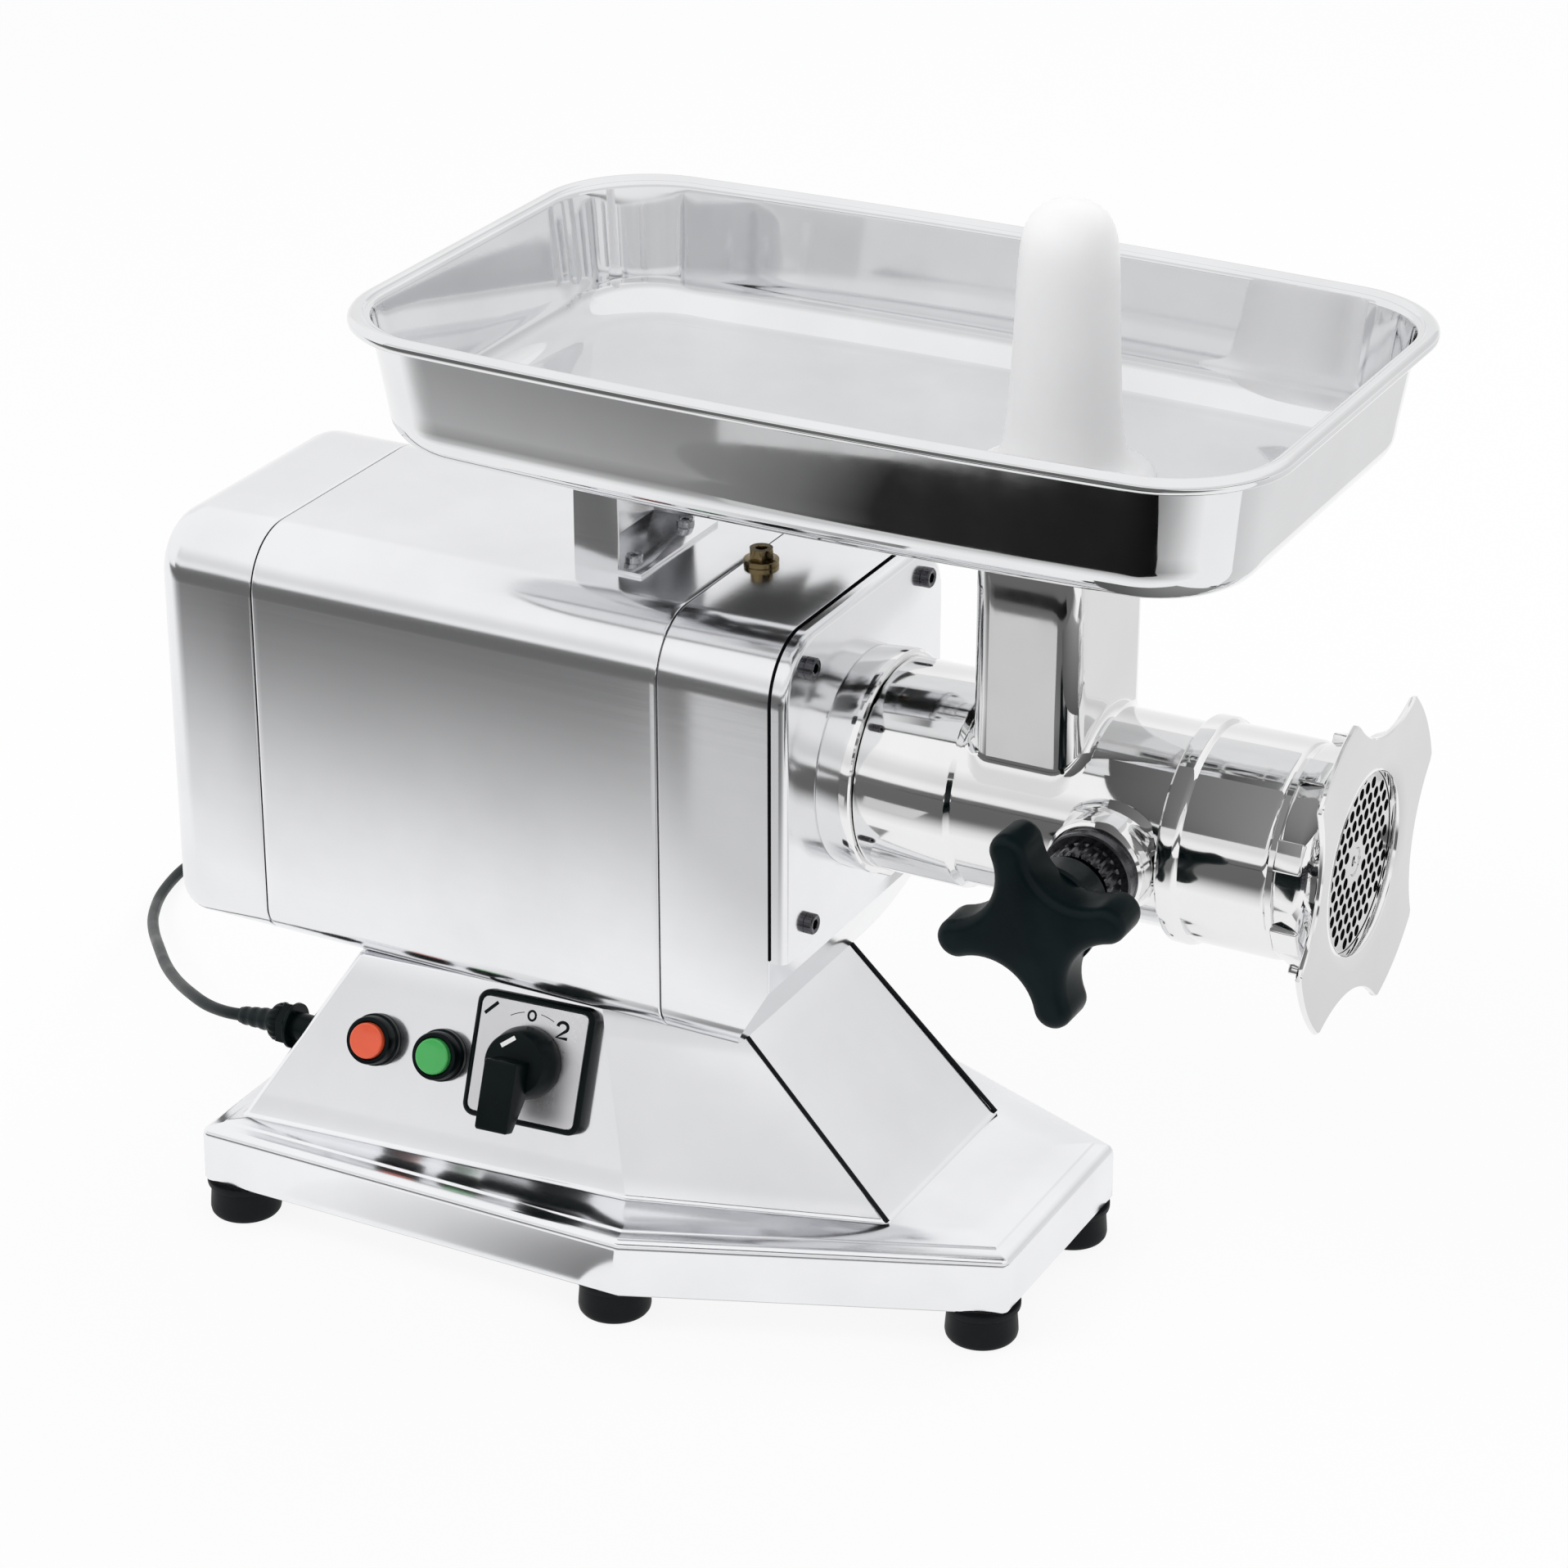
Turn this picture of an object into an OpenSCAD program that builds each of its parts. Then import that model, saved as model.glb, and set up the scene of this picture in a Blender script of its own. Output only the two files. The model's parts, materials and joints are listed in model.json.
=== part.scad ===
// Electric meat grinder, one module per separate piece.
// X runs to the outlet, -Y to the controls, Z up from the floor. Millimetres.

/* [Base] */
// rear edge of the base tray
base_rear = -284; // [-320:1:-260]
// where the base starts to taper
base_kink = -18.5; // [-60:0.5:20]
// front edge of the base tray
base_front = 174; // [150:1:220]
// half width of the base behind the taper
base_half_w = 149.5; // [120:0.5:170]
// half width of the base at its front edge
base_front_half = 69.5; // [50:0.5:100]
// height of the folded rim
base_rim_h = 35; // [25:1:50]
// sheet thickness of base and pedestal
sheet = 2; // [1:0.5:3]
// foot diameter
foot_d = 40; // [30:1:50]
// foot height
foot_h = 22; // [15:1:35]

/* [Pedestal] */
// height of the pedestal above the base
ped_h = 93.5; // [70:0.5:120]

/* [Motor housing] */
// rear end of the housing
hous_rear = -335; // [-360:1:-300]
// half width of the housing
hous_half = 93; // [80:1:105]
// top face height
hous_top = 391; // [350:1:430]
// top corner radius
hous_r_top = 34; // [20:1:50]
// bottom corner radius
hous_r_bot = 20; // [10:1:40]
// skin thickness of the housing
skin = 1.5; // [1:0.5:3]
// seam between sleeve and rear cap
cap_seam = -270; // [-290:1:-240]
// seam between sleeve and front casing
front_seam = -21; // [-40:1:0]
// front face of the front casing
front_face = 53; // [40:1:70]

/* [Grinding head] */
// height of the worm axis
axis_z = 296.5; // [260:0.5:330]
// barrel outer radius
barrel_r = 54; // [45:0.5:60]
// barrel bore radius
bore_r = 46.5; // [40:0.5:50]
// end of the barrel
barrel_end = 328; // [300:1:340]
// throat half width along the axis
throat_hx = 30; // [20:1:40]
// throat half width across the axis
throat_hy = 44; // [25:1:50]
// throat centre along the axis
throat_x = 162; // [150:1:180]
// wall of the throat
throat_wall = 5; // [3:0.5:8]
// plate radius
plate_r = 49.6; // [45:0.1:52]
// plate thickness
plate_t = 11; // [8:0.5:14]
// plate hole diameter
plate_hole_d = 5.5; // [3:0.5:8]
// outlet radius of the ring nut
outlet_r = 47.5; // [45:0.5:49]
// ring nut: tip radius of the guard's four lobes
guard_r = 91; // [84:1:98]
// ring nut: radius between two lobes
guard_dip = 68; // [64:1:80]
// half width of the rotary switch's square frame
switch_half = 35; // [31:0.5:38]
// height of the switch lever above the face
lever_h = 36; // [24:1:42]

/* [Tray] */
// rear end of the tray rim
tray_rear = -190; // [-205:1:-165]
// front end of the tray rim
tray_front = 320; // [300:1:340]
// half width of the tray at mid length
tray_half = 158; // [140:1:170]
// rim height
tray_top = 544; // [530:1:560]
// tray depth
tray_depth = 74; // [60:1:90]
// tray sheet
tray_t = 1.2; // [1:0.1:2]
// height of the top of the pusher
pusher_top = 618; // [590:1:640]
// outer radius of the motor
motor_r = 62; // [55:1:68]

/* [Drive] */
// gear module of the motor stage
mod_a = 2; // [1.5:0.5:3]
// gear module of the output stage
mod_b = 2.5; // [2:0.5:3]
// motor pinion teeth
teeth_motor = 14; // [12:1:20]
// intermediate gear teeth
teeth_mid = 48; // [40:1:60]
// intermediate pinion teeth
teeth_small = 15; // [12:1:20]
// output gear teeth
teeth_out = 42; // [36:1:60]

/* [Cord] */
// cord diameter
cord_d = 7; // [6:0.5:9]
// coil winding diameter at mid turn
coil_d = 84; // [70:2:110]

/* [Fits] */
// radial running clearance of shafts in bearings
run_gap = 0.05; // [0.02:0.01:0.1]
// radial clearance of parts that lift or turn freely
free_gap = 0.3; // [0.2:0.05:0.5]

/* [Hidden] */
$fn = 64;
base_bot = foot_h + 1.5;
base_top = base_bot + base_rim_h;
ped_top = base_top + ped_h;
hous_bot = ped_top;
ang_side = atan((base_half_w - base_front_half) / (base_front - base_kink));
foot_xy = [[-268, 131], [-33, 126], [154, 58]];
// pedestal corner points of the near side: rear, kink, front at bottom and top
pR = [-268.8, -129.3, base_top];
pK = [-34.3, -110, base_top];
pF = [102, -67.4, base_top];
tR = [-216.7, -84.75, ped_top];
tK = [-69.1, -72.6, ped_top];
tF = [8.8, -61, ped_top];
pan_u = (pK - pR) / norm(pK - pR);
pan_n = cross(pK - pR, tK - pR) / norm(cross(pK - pR, tK - pR));
pan_v = cross(pan_n, pan_u);
stop_uv = [75, 57];
start_uv = [115.5, 56];
switch_uv = [169.8, 62.9];
tray_floor = tray_top - tray_depth;
snout_r = 57;
snout_end = 128;
flange_face = 73;
nut_lip = barrel_end - 85;
nut_front = barrel_end + 7;
thread_r = 52.3;
worm_r = bore_r - 1;
motor_x0 = cap_seam + 30;
motor_x1 = motor_x0 + 90;
rotor_r = 36;
motor_shaft_r = 8.5;
bracket_bolt_x = -70;
bracket_bolt_y = [-28, 28];
bolt_hole_r = 2.7;
worm_start = 100;
plate_face = barrel_end;
knife_t = 12;
knife_x = plate_face - plate_t - knife_t - 0.3;
worm_end = knife_x - 0.5;
mid_z = axis_z - mod_b * (teeth_small + teeth_out) / 2;
motor_z = mid_z + mod_a * (teeth_motor + teeth_mid) / 2;
stage_a_x = -74;
stage_b_x = -46;
shaft_r = 17.5;
knob_x = nut_lip - 27;
knob_y = -150;
gland_p = [-245, -93, 101];
gland_len = 24;
boss_xy = [[-226, 114], [66, 68]];
cap_rod_r = 40;
cap_edge = 20;
rim_w = 13;
taper = 11;
coil_c = [-440, 378];
coil_out_r = coil_d / 2 + cord_d / 2;
plug_r = 17;
plug_lead = 38;
cord_lay = cord_d / 2 + 0.1;
tube_pts = [[-256, -93, 101], [-270, -93, 100.5], [-288, -93, 99], [-304, -90, 96], [-324, -80, 91],
  [-348, -62, 84], [-374, -38, 74], [-406, -4, 60], [-440, 36, 45], [-476, 80, 29], [-506, 122, 15],
  [-528, 164, 7], [-538, 206, 4.2], [-535, 250, cord_lay], [-518, 294, cord_lay],
  [-496, 334, cord_lay], [coil_c[0] - coil_out_r, coil_c[1], cord_lay]];

// ---- shared shapes ----
module plan(inset, h) {
  rx = base_rear + inset;
  fx = base_front - inset;
  w = base_half_w - inset;
  kx = base_kink - inset * tan(ang_side / 2);
  fw = base_front_half + inset * tan(ang_side) - inset / cos(ang_side);
  linear_extrude(h)
    polygon([[rx, -w], [kx, -w], [fx, -fw], [fx, fw], [kx, w], [rx, w]]);
}

module rod(r, x0, x1, z = axis_z, y = 0) {
  translate([x0, y, z])
    rotate([0, 90, 0])
      cylinder(r = r, h = x1 - x0);
}

module ring(ro, ri, x0, x1, z = axis_z, y = 0) {
  difference() {
    rod(ro, x0, x1, z, y);
    rod(ri, x0 - 1, x1 + 1, z, y);
  }
}

// turned piece about the worm axis, points are [x, radius]
module turned(pts) {
  translate([0, 0, axis_z])
    rotate([0, 90, 0])
      rotate_extrude($fn = 96)
        polygon([for (p = pts) [p[1], p[0]]]);
}

// half space cut: removes everything outside the plane through p with outward normal n
module cut_away(p, n) {
  b = acos(n[2] / norm(n));
  c = atan2(n[1], n[0]);
  translate(p)
    rotate([0, b, c])
      translate([-500, -500, 0])
        cube([1000, 1000, 500]);
}

function out(a, b, c) = cross(b - a, c - a) / norm(cross(b - a, c - a));
function fl(p) = [p[0], -p[1], p[2]];

module near_cuts(t) {
  n1 = out(pR, pK, tK);
  n2 = out(pK, pF, tF);
  n3 = out(pK, tF, tK);
  cut_away(pR - n1 * t, n1);
  cut_away(pK - n2 * t, n2);
  cut_away(pK - n3 * t, n3);
}

module ped_block(t, z0, z1) {
  nf = out(pF, fl(pF), tF);
  nr = out(fl(pR), pR, tR);
  difference() {
    translate([-300, -140, z0])
      cube([430, 280, z1 - z0]);
    near_cuts(t);
    mirror([0, 1, 0])
      near_cuts(t);
    cut_away(pF - nf * t, nf);
    cut_away(pR - nr * t, nr);
  }
}

// places a child drawn with +Z outward and +Y up the control panel
module on_panel(uv, off = 0) {
  o = pR + pan_u * uv[0] + pan_v * uv[1] + pan_n * off;
  multmatrix([[pan_u[0], pan_v[0], pan_n[0], o[0]],
              [pan_u[1], pan_v[1], pan_n[1], o[1]],
              [pan_u[2], pan_v[2], pan_n[2], o[2]]])
    children();
}

module hous_plan(g) {
  w = hous_half - g;
  zb = hous_bot + g;
  zt = hous_top - g;
  rb = hous_r_bot - g;
  rt = hous_r_top - g;
  union() {
    translate([-w, zb + rb])
      square([2 * w, zt - rt - zb - rb]);
    translate([-w + rb, zb])
      square([2 * (w - rb), rb + 1]);
    translate([-w + rt, zt - rt - 1])
      square([2 * (w - rt), rt + 1]);
    for (s = [-1, 1]) {
      translate([s * (w - rb), zb + rb])
        circle(r = rb);
      translate([s * (w - rt), zt - rt])
        circle(r = rt);
    }
  }
}

module hous_block(g, x0, x1) {
  translate([x0, 0, 0])
    rotate([90, 0, 90])
      linear_extrude(x1 - x0)
        hous_plan(g);
}

module hous_ring(g0, g1, x0, x1) {
  difference() {
    hous_block(g0, x0, x1);
    hous_block(g1, x0 - 1, x1 + 1);
  }
}

module hex_screw(d, head_d, head_h, len) {
  difference() {
    union() {
      cylinder(d = head_d, h = head_h);
      translate([0, 0, -len])
        cylinder(d = d, h = len + 1);
    }
    translate([0, 0, head_h - 3])
      cylinder(d = head_d * 0.5, h = 4, $fn = 6);
  }
}

// involute gear outline, a tooth is centred on the +X axis
function inv_pt(rb, t) = [rb * (cos(t) + t * PI / 180 * sin(t)), rb * (sin(t) - t * PI / 180 * cos(t))];
function turn2(p, a) = [p[0] * cos(a) - p[1] * sin(a), p[0] * sin(a) + p[1] * cos(a)];
function inv_ang(r, rb) = sqrt(pow(r / rb, 2) - 1) * 180 / PI;
function inv_pol(t) = t - atan(t * PI / 180);

module gear2d(m, z) {
  rp = m * z / 2;
  rb = rp * cos(20);
  ra = rp + 0.95 * m;
  rf = rp - 1.25 * m;
  half = 90 / z - 0.12 / rp * 180 / PI + inv_pol(inv_ang(rp, rb));
  t1 = inv_ang(ra, rb);
  t0 = rf > rb ? inv_ang(rf, rb) : 0;
  side = [for (i = [0:4]) let (t = t0 + (t1 - t0) * i / 4) turn2(inv_pt(rb, t), -half)];
  foot = [[rf * cos(half * 1.05), -rf * sin(half * 1.05)]];
  low = rf > rb ? side : concat(foot, side);
  up = [for (i = [len(low) - 1:-1:0]) [low[i][0], -low[i][1]]];
  tooth = concat(low, up);
  polygon([for (k = [0:z - 1]) for (p = tooth) turn2(p, k * 360 / z)]);
}

module gear(m, z, bore, x0, x1, zc, a) {
  translate([x0, 0, zc])
    rotate([90, 0, 90])
      rotate([0, 0, a])
        linear_extrude(x1 - x0)
          difference() {
            gear2d(m, z);
            circle(r = bore);
          }
}

// ---- base ----
module base_tray() {
  color("silver") difference() {
    translate([0, 0, base_bot])
      plan(0, base_rim_h);
    translate([0, 0, base_bot + sheet])
      plan(sheet, base_rim_h - 2 * sheet);
    translate([0, 0, base_bot - 1])
      plan(34, sheet + 2);
    translate([-200, -40, base_top - sheet - 1])
      cube([40, 80, sheet + 2]);
    for (p = foot_xy) for (s = [-1, 1])
      translate([p[0], s * p[1], base_bot - 1])
        cylinder(d = 8.4, h = sheet + 2, $fn = 32);
    for (p = boss_xy) for (s = [-1, 1])
      translate([p[0], s * p[1], base_top - sheet - 1])
        cylinder(d = 5.6, h = sheet + 2, $fn = 32);
  }
}

module bottom_cover() {
  color("gainsboro") difference() {
    translate([0, 0, foot_h])
      plan(3, base_bot - foot_h);
    for (p = foot_xy) for (s = [-1, 1])
      translate([p[0], s * p[1], foot_h - 1])
        cylinder(d = 8.4, h = 5, $fn = 32);
    for (x = [-200:20:0])
      translate([x, -40, foot_h - 1])
        cube([6, 80, 5]);
  }
}

module feet() {
  color("#202020") for (p = foot_xy) for (s = [-1, 1])
    translate([p[0], s * p[1], 0])
      rotate_extrude()
        polygon([[10, 0], [foot_d / 2 - 1.5, 0], [foot_d / 2, 1.5], [foot_d / 2 + 1, foot_h],
          [4.2, foot_h], [4.2, 9], [10, 9]]);
}

module foot_bolts() {
  color("silver") for (p = foot_xy) for (s = [-1, 1])
    translate([p[0], s * p[1], 0]) {
      translate([0, 0, 3])
        cylinder(d = 14, h = 6, $fn = 32);
      translate([0, 0, 3])
        cylinder(r = 4, h = base_bot + sheet + 8 - 3, $fn = 32);
      translate([0, 0, base_bot + sheet])
        cylinder(d = 15, h = 6.5, $fn = 6);
    }
}

// ---- pedestal ----
module pedestal() {
  color("silver") difference() {
    union() {
      difference() {
        ped_block(0, base_top, ped_top);
        ped_block(sheet, base_top - 1, ped_top - sheet);
      }
      intersection() {
        ped_block(0, base_top, base_top + 14);
        for (p = boss_xy) for (s = [-1, 1])
          translate([p[0], s * p[1], base_top])
            cylinder(d = 16, h = 14, $fn = 32);
      }
    }
    translate([-190, -45, ped_top - sheet - 1])
      cube([170, 90, sheet + 2]);
    for (p = boss_xy) for (s = [-1, 1])
      translate([p[0], s * p[1], base_top - 1])
        cylinder(d = 5.1, h = 12, $fn = 32);
    for (uv = [stop_uv, start_uv])
      on_panel(uv, -6)
        cylinder(d = 22.3, h = 12);
    on_panel(switch_uv, -6)
      cylinder(d = 30, h = 12);
    rod(8.3, gland_p[0] - 20, gland_p[0] + 30, gland_p[2], gland_p[1]);
  }
}

module pedestal_screws() {
  color("silver") for (p = boss_xy) for (s = [-1, 1])
    translate([p[0], s * p[1], base_top - sheet]) {
      cylinder(r = 2.5, h = 11, $fn = 32);
      translate([0, 0, -3.5])
        cylinder(d = 9.5, h = 3.5, $fn = 32);
    }
}

// ---- motor housing ----
module housing_sleeve() {
  color("silver") difference() {
    hous_ring(0, skin, cap_seam + 0.6, front_seam - 0.6);
    translate([-175, -40, hous_bot - 1])
      cube([140, 80, skin + 2]);
    for (y = bracket_bolt_y)
      translate([bracket_bolt_x, y, hous_top - skin - 1])
        cylinder(r = bolt_hole_r, h = skin + 2, $fn = 32);
  }
}

module cap_form(g) {
  e = cap_edge - g;
  x0 = hous_rear + g;
  w = hous_half - g;
  intersection() {
    hous_block(g, x0, cap_seam + (g > 0 ? 1 : 0));
    translate([0, 0, hous_bot - 1])
      linear_extrude(hous_top - hous_bot + 2)
        union() {
          translate([x0 + e, -w])
            square([cap_seam + 2 - x0 - e, 2 * w]);
          translate([x0, -w + e])
            square([e + 1, 2 * (w - e)]);
          for (s = [-1, 1])
            translate([x0 + e, s * (w - e)])
              circle(r = e);
        }
    translate([0, 200, 0])
      rotate([90, 0, 0])
        linear_extrude(400)
          union() {
            translate([x0 + e, hous_bot + g])
              square([cap_seam + 2 - x0 - e, hous_top - hous_bot - 2 * g]);
            translate([x0, hous_bot + g + e])
              square([e + 1, hous_top - hous_bot - 2 * (g + e)]);
            for (z = [hous_bot + g + e, hous_top - g - e])
              translate([x0 + e, z])
                circle(r = e);
          }
  }
}

module rear_cap() {
  color("silver") difference() {
    cap_form(0);
    cap_form(skin + 1);
    for (i = [-5:5])
      translate([hous_rear - 1, i * 9 - 2, motor_z - 25])
        cube([12, 4, 50]);
    for (y = [-cap_rod_r, cap_rod_r]) for (z = [-cap_rod_r, cap_rod_r])
      rod(3.3, hous_rear - 1, hous_rear + 10, motor_z + z, y);
  }
}

module cap_screws() {
  color("silver") for (y = [-cap_rod_r, cap_rod_r]) for (z = [-cap_rod_r, cap_rod_r]) {
    rod(3, hous_rear - 1, -262, motor_z + z, y);
    rod(6.5, hous_rear - 3, hous_rear, motor_z + z, y);
  }
}

module front_casing() {
  color("silver") difference() {
    hous_block(0, front_seam, front_face - 9);
    difference() {
      hous_block(7, front_seam - 1, front_face - 21);
      translate([0, -100, 0])
        front_chamfer(-9);
    }
    translate([0, -100, 0])
      front_chamfer(0);
    rod(38.02, front_face - 30, front_face + 1);
    rod(14, front_face - 22, front_face - 11, mid_z);
    translate([-12, 5, hous_top - 12])
      cylinder(r = 6.2, h = 20, $fn = 32);
    for (s = [-1, 1]) for (z = [227, 373])
      rod(3, front_face - 26, front_face, z, s * 67);
  }
}

module front_chamfer(g) {
  rotate([90, 0, 0])
    mirror([0, 0, 1])
      linear_extrude(200)
        polygon([[19 + g, hous_bot - 20], [19 + g, hous_bot], [55 + g, 214], [90, 214],
          [90, hous_bot - 20]]);
}

module front_plate() {
  color("silver") difference() {
    hous_block(1.5, front_face - 9, front_face);
    translate([front_face - 20, -100, hous_bot - 5])
      cube([40, 200, 212.5 - hous_bot + 5]);
    rod(38.02, front_face - 30, front_face + 1);
    for (s = [-1, 1]) for (z = [227, 373])
      rod(3.3, front_face - 26, front_face + 1, z, s * 67);
  }
}

module plate_screws() {
  color("silver") for (s = [-1, 1]) for (z = [227, 373])
    translate([front_face, s * 67, z])
      rotate([0, 90, 0])
        hex_screw(6, 11, 5, 20);
}

module oil_plug() {
  color("gold") translate([-12, 5, hous_top]) {
    cylinder(d = 19, h = 3, $fn = 48);
    translate([0, 0, 3])
      difference() {
        cylinder(d = 14, h = 6, $fn = 6);
        translate([0, 0, 3])
          cylinder(d = 6, h = 5, $fn = 32);
      }
    translate([0, 0, -10])
      cylinder(r = 6, h = 11, $fn = 32);
  }
}

module neck_flange() {
  color("silver") difference() {
    union() {
      rod(38, 0, front_face + 1);
      turned([[front_face, 0], [front_face, 59], [flange_face - 3, 60.5], [flange_face, 58.5],
        [flange_face, 0]]);
      translate([front_face, -6, axis_z - 66])
        cube([flange_face - front_face - 2, 12, 20]);
    }
    rod(45.1, front_face + 4, flange_face + 1);
    rod(27, -1, front_face + 10);
  }
}

// ---- grinding head ----
module throat_block(g, z0, z1) {
  r = 12 - g / 2;
  hx = throat_hx - g;
  hy = throat_hy - g;
  translate([throat_x, 0, z0])
    linear_extrude(z1 - z0)
      union() {
        square([2 * (hx - r), 2 * hy], center = true);
        square([2 * hx, 2 * (hy - r)], center = true);
        for (i = [-1, 1]) for (j = [-1, 1])
          translate([i * (hx - r), j * (hy - r)])
            circle(r = r);
      }
}

module head_body() {
  color("silver") difference() {
    union() {
      turned([[front_face + 4.2, 0], [front_face + 4.2, 45], [flange_face + 0.3, 45],
        [flange_face + 0.3, snout_r], [snout_end - 3, snout_r], [snout_end, barrel_r],
        [nut_lip + 1, barrel_r], [nut_lip + 3, thread_r], [barrel_end - 0.2, thread_r],
        [barrel_end - 0.2, 0]]);
      throat_block(0, axis_z, tray_floor - free_gap);
      translate([knob_x, 0, axis_z])
        rotate([90, 0, 0])
          cylinder(r = 27, h = 72);
    }
    rod(bore_r, worm_start - 3, barrel_end + 1);
    rod(plate_r + 0.1, plate_face - plate_t - 0.2, barrel_end + 1);
    rod(19.05, front_face, worm_start);
    throat_block(throat_wall, axis_z, tray_floor + 10);
    translate([knob_x, 0, axis_z])
      rotate([90, 0, 0])
        cylinder(r = 8 + run_gap, h = 90);
    for (i = [0:5])
      translate([0, 0, axis_z])
        rotate([60 * i + 30, 0, 0])
          translate([worm_start - 3, -2.5, bore_r - 1.5])
            cube([200, 5, 3.5]);
  }
}

module lock_stud() {
  color("silver") translate([knob_x, -bore_r - 1.5, axis_z])
    rotate([90, 0, 0])
      cylinder(r = 8, h = -knob_y - bore_r - 1.5 - 12);
}

module lock_collar() {
  color("#303030") translate([knob_x, -72.2, axis_z])
    rotate([90, 0, 0])
      difference() {
        union() {
          cylinder(r = 24, h = 8);
          cylinder(r = 20, h = 22);
        }
        translate([0, 0, -1])
          cylinder(r = 8.05, h = 30);
      }
}

module lock_knob() {
  arm = 52;
  color("#151515") translate([knob_x, knob_y, axis_z])
    rotate([-90, 0, 0])
      rotate([0, 0, -18])
        difference() {
          union() {
            linear_extrude(26)
              difference() {
                circle(r = arm);
                for (i = [0:3])
                  rotate([0, 0, 90 * i + 45])
                    translate([54, 0])
                      circle(r = 29);
              }
            cylinder(r = 22, h = 50);
          }
          translate([0, 0, 12])
            cylinder(r = 8.05, h = 50);
        }
}

module worm() {
  pitch = 44;
  fl0 = worm_start + 0.3;
  flen = worm_end - fl0 - 9;
  sweep = 80;
  flight_r = worm_r - 0.5;
  color("silver") union() {
    turned([[fl0, 0], [fl0, worm_r], [fl0 + 5, worm_r], [fl0 + 5, 24], [worm_end - 30, 19],
      [worm_end - 4, 20], [worm_end, 20], [worm_end, 0]]);
    rod(19, 79, fl0 + 1);
    translate([40, -11.9, axis_z - 11.9])
      cube([40, 23.8, 23.8]);
    translate([fl0 + 2, 0, axis_z])
      rotate([0, 90, 0])
        linear_extrude(height = flen, twist = -360 * flen / pitch, slices = 44)
          polygon(concat([[0, 0]], [for (a = [0:20:sweep]) flight_r * [cos(a + 7), sin(a + 7)]]));
    translate([worm_end - 1, -11.5, axis_z - 11.5])
      cube([knife_t + 1.5, 23, 23]);
  }
}

module worm_pin() {
  color("silver") rod(7.5, knife_x + knife_t, plate_face - 0.5);
}

module thrust_washer() {
  color("goldenrod") ring(36, 19.3, worm_start - 2.9, worm_start + 0.2);
}

module knife() {
  color("silver") difference() {
    union() {
      rod(22, knife_x, knife_x + knife_t - 0.1);
      for (i = [0:3])
        translate([knife_x, 0, axis_z])
          rotate([90 * i, 0, 0])
            translate([2, -7, 0])
              cube([knife_t - 2.1, 14, 45]);
    }
    translate([knife_x - 1, -11.55, axis_z - 11.55])
      cube([knife_t + 2, 23.1, 23.1]);
  }
}

module grinder_plate() {
  p = 8.2;
  color("silver") difference() {
    rod(plate_r, plate_face - plate_t, plate_face, axis_z);
    rod(7.55, plate_face - plate_t - 1, plate_face + 1);
    for (i = [-6:6]) for (j = [-6:6]) {
      y = (i + j / 2) * p;
      z = j * p * 0.866;
      if (norm([y, z]) < 42 && norm([y, z]) > 13)
        translate([plate_face - plate_t - 1, y, axis_z + z])
          rotate([0, 90, 0])
            cylinder(d = plate_hole_d, h = plate_t + 2, $fn = 16);
    }
  }
}

module ring_nut() {
  color("silver") difference() {
    union() {
      turned([[nut_lip, 0], [nut_lip, 58], [nut_lip + 1.5, 59.5], [nut_lip + 10, 59.5],
        [nut_lip + 12, 57], [nut_front - 35, 57], [nut_front - 33, 55.5],
        [nut_front - 30, 55.5], [nut_front - 28, 58], [nut_front - 17, 60],
        [nut_front - 8, 64], [nut_front - 4, guard_dip - 1], [nut_front, guard_dip], [nut_front, 0]]);
      difference() {
        turned([[nut_front - 7, 0], [nut_front - 7, guard_dip - 3], [nut_front - 3, guard_r],
          [nut_front, guard_r], [nut_front, 0]]);
        for (i = [0:3])
          translate([nut_front - 15, 0, axis_z])
            rotate([90 * i - 19, 0, 0])
              translate([0, 0, guard_dip + 50])
                rotate([0, 90, 0])
                  cylinder(r = 50, h = 20);
      }
      for (i = [0:7])
        translate([nut_front - 29, 0, axis_z])
          rotate([45 * i + 22.5, 0, 0])
            translate([0, -8, 50])
              cube([15, 16, 12]);
    }
    rod(thread_r + free_gap, nut_lip - 1, plate_face + 0.25);
    rod(barrel_r + free_gap, nut_lip - 1, nut_lip + 5);
    rod(outlet_r, nut_lip, nut_front + 1);
  }
}

// ---- tray and pusher ----
module tray_plan(g) {
  x0 = tray_rear + g;
  x1 = tray_front - g;
  w = tray_half - g;
  xm = (x0 + x1) / 2;
  hl = (x1 - x0) / 2;
  r = 58 - g * 0.6;
  bow = 9;
  rs = (hl * hl + bow * bow) / (2 * bow);
  intersection() {
    translate([xm, 0])
      union() {
        square([2 * (hl - r), 2 * w], center = true);
        square([2 * hl, 2 * (w - r - bow * 0.6)], center = true);
        for (i = [-1, 1]) for (j = [-1, 1])
          translate([i * (hl - r), j * (w - r - bow * 0.6)])
            circle(r = r);
      }
    translate([xm, w - rs])
      circle(r = rs, $fn = 360);
    translate([xm, rs - w])
      circle(r = rs, $fn = 360);
  }
}

module tray_layer(g, z0, z1) {
  translate([0, 0, z0])
    linear_extrude(z1 - z0)
      tray_plan(g);
}

// side view of the tray well: half length a at the rim, rounded at the floor
function well_pts(a, r, z0, z1) = let (q = atan(taper / tray_depth), tz = z0 + r - r * sin(q),
  tx = a - taper * (z1 - tz) / tray_depth, cx = tx - r * cos(q))
  concat([[a, z1 + 2], [a, z1]],
  [for (t = [0:6]) let (w = -q - (90 - q) * t / 6) [cx + r * cos(w), z0 + r + r * sin(w)]]);

module well_cut(a, r, z0, z1) {
  p = well_pts(a, r, z0, z1);
  linear_extrude(800, center = true)
    polygon(concat(p, [for (i = [len(p) - 1:-1:0]) [-p[i][0], p[i][1]]]));
}

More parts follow.
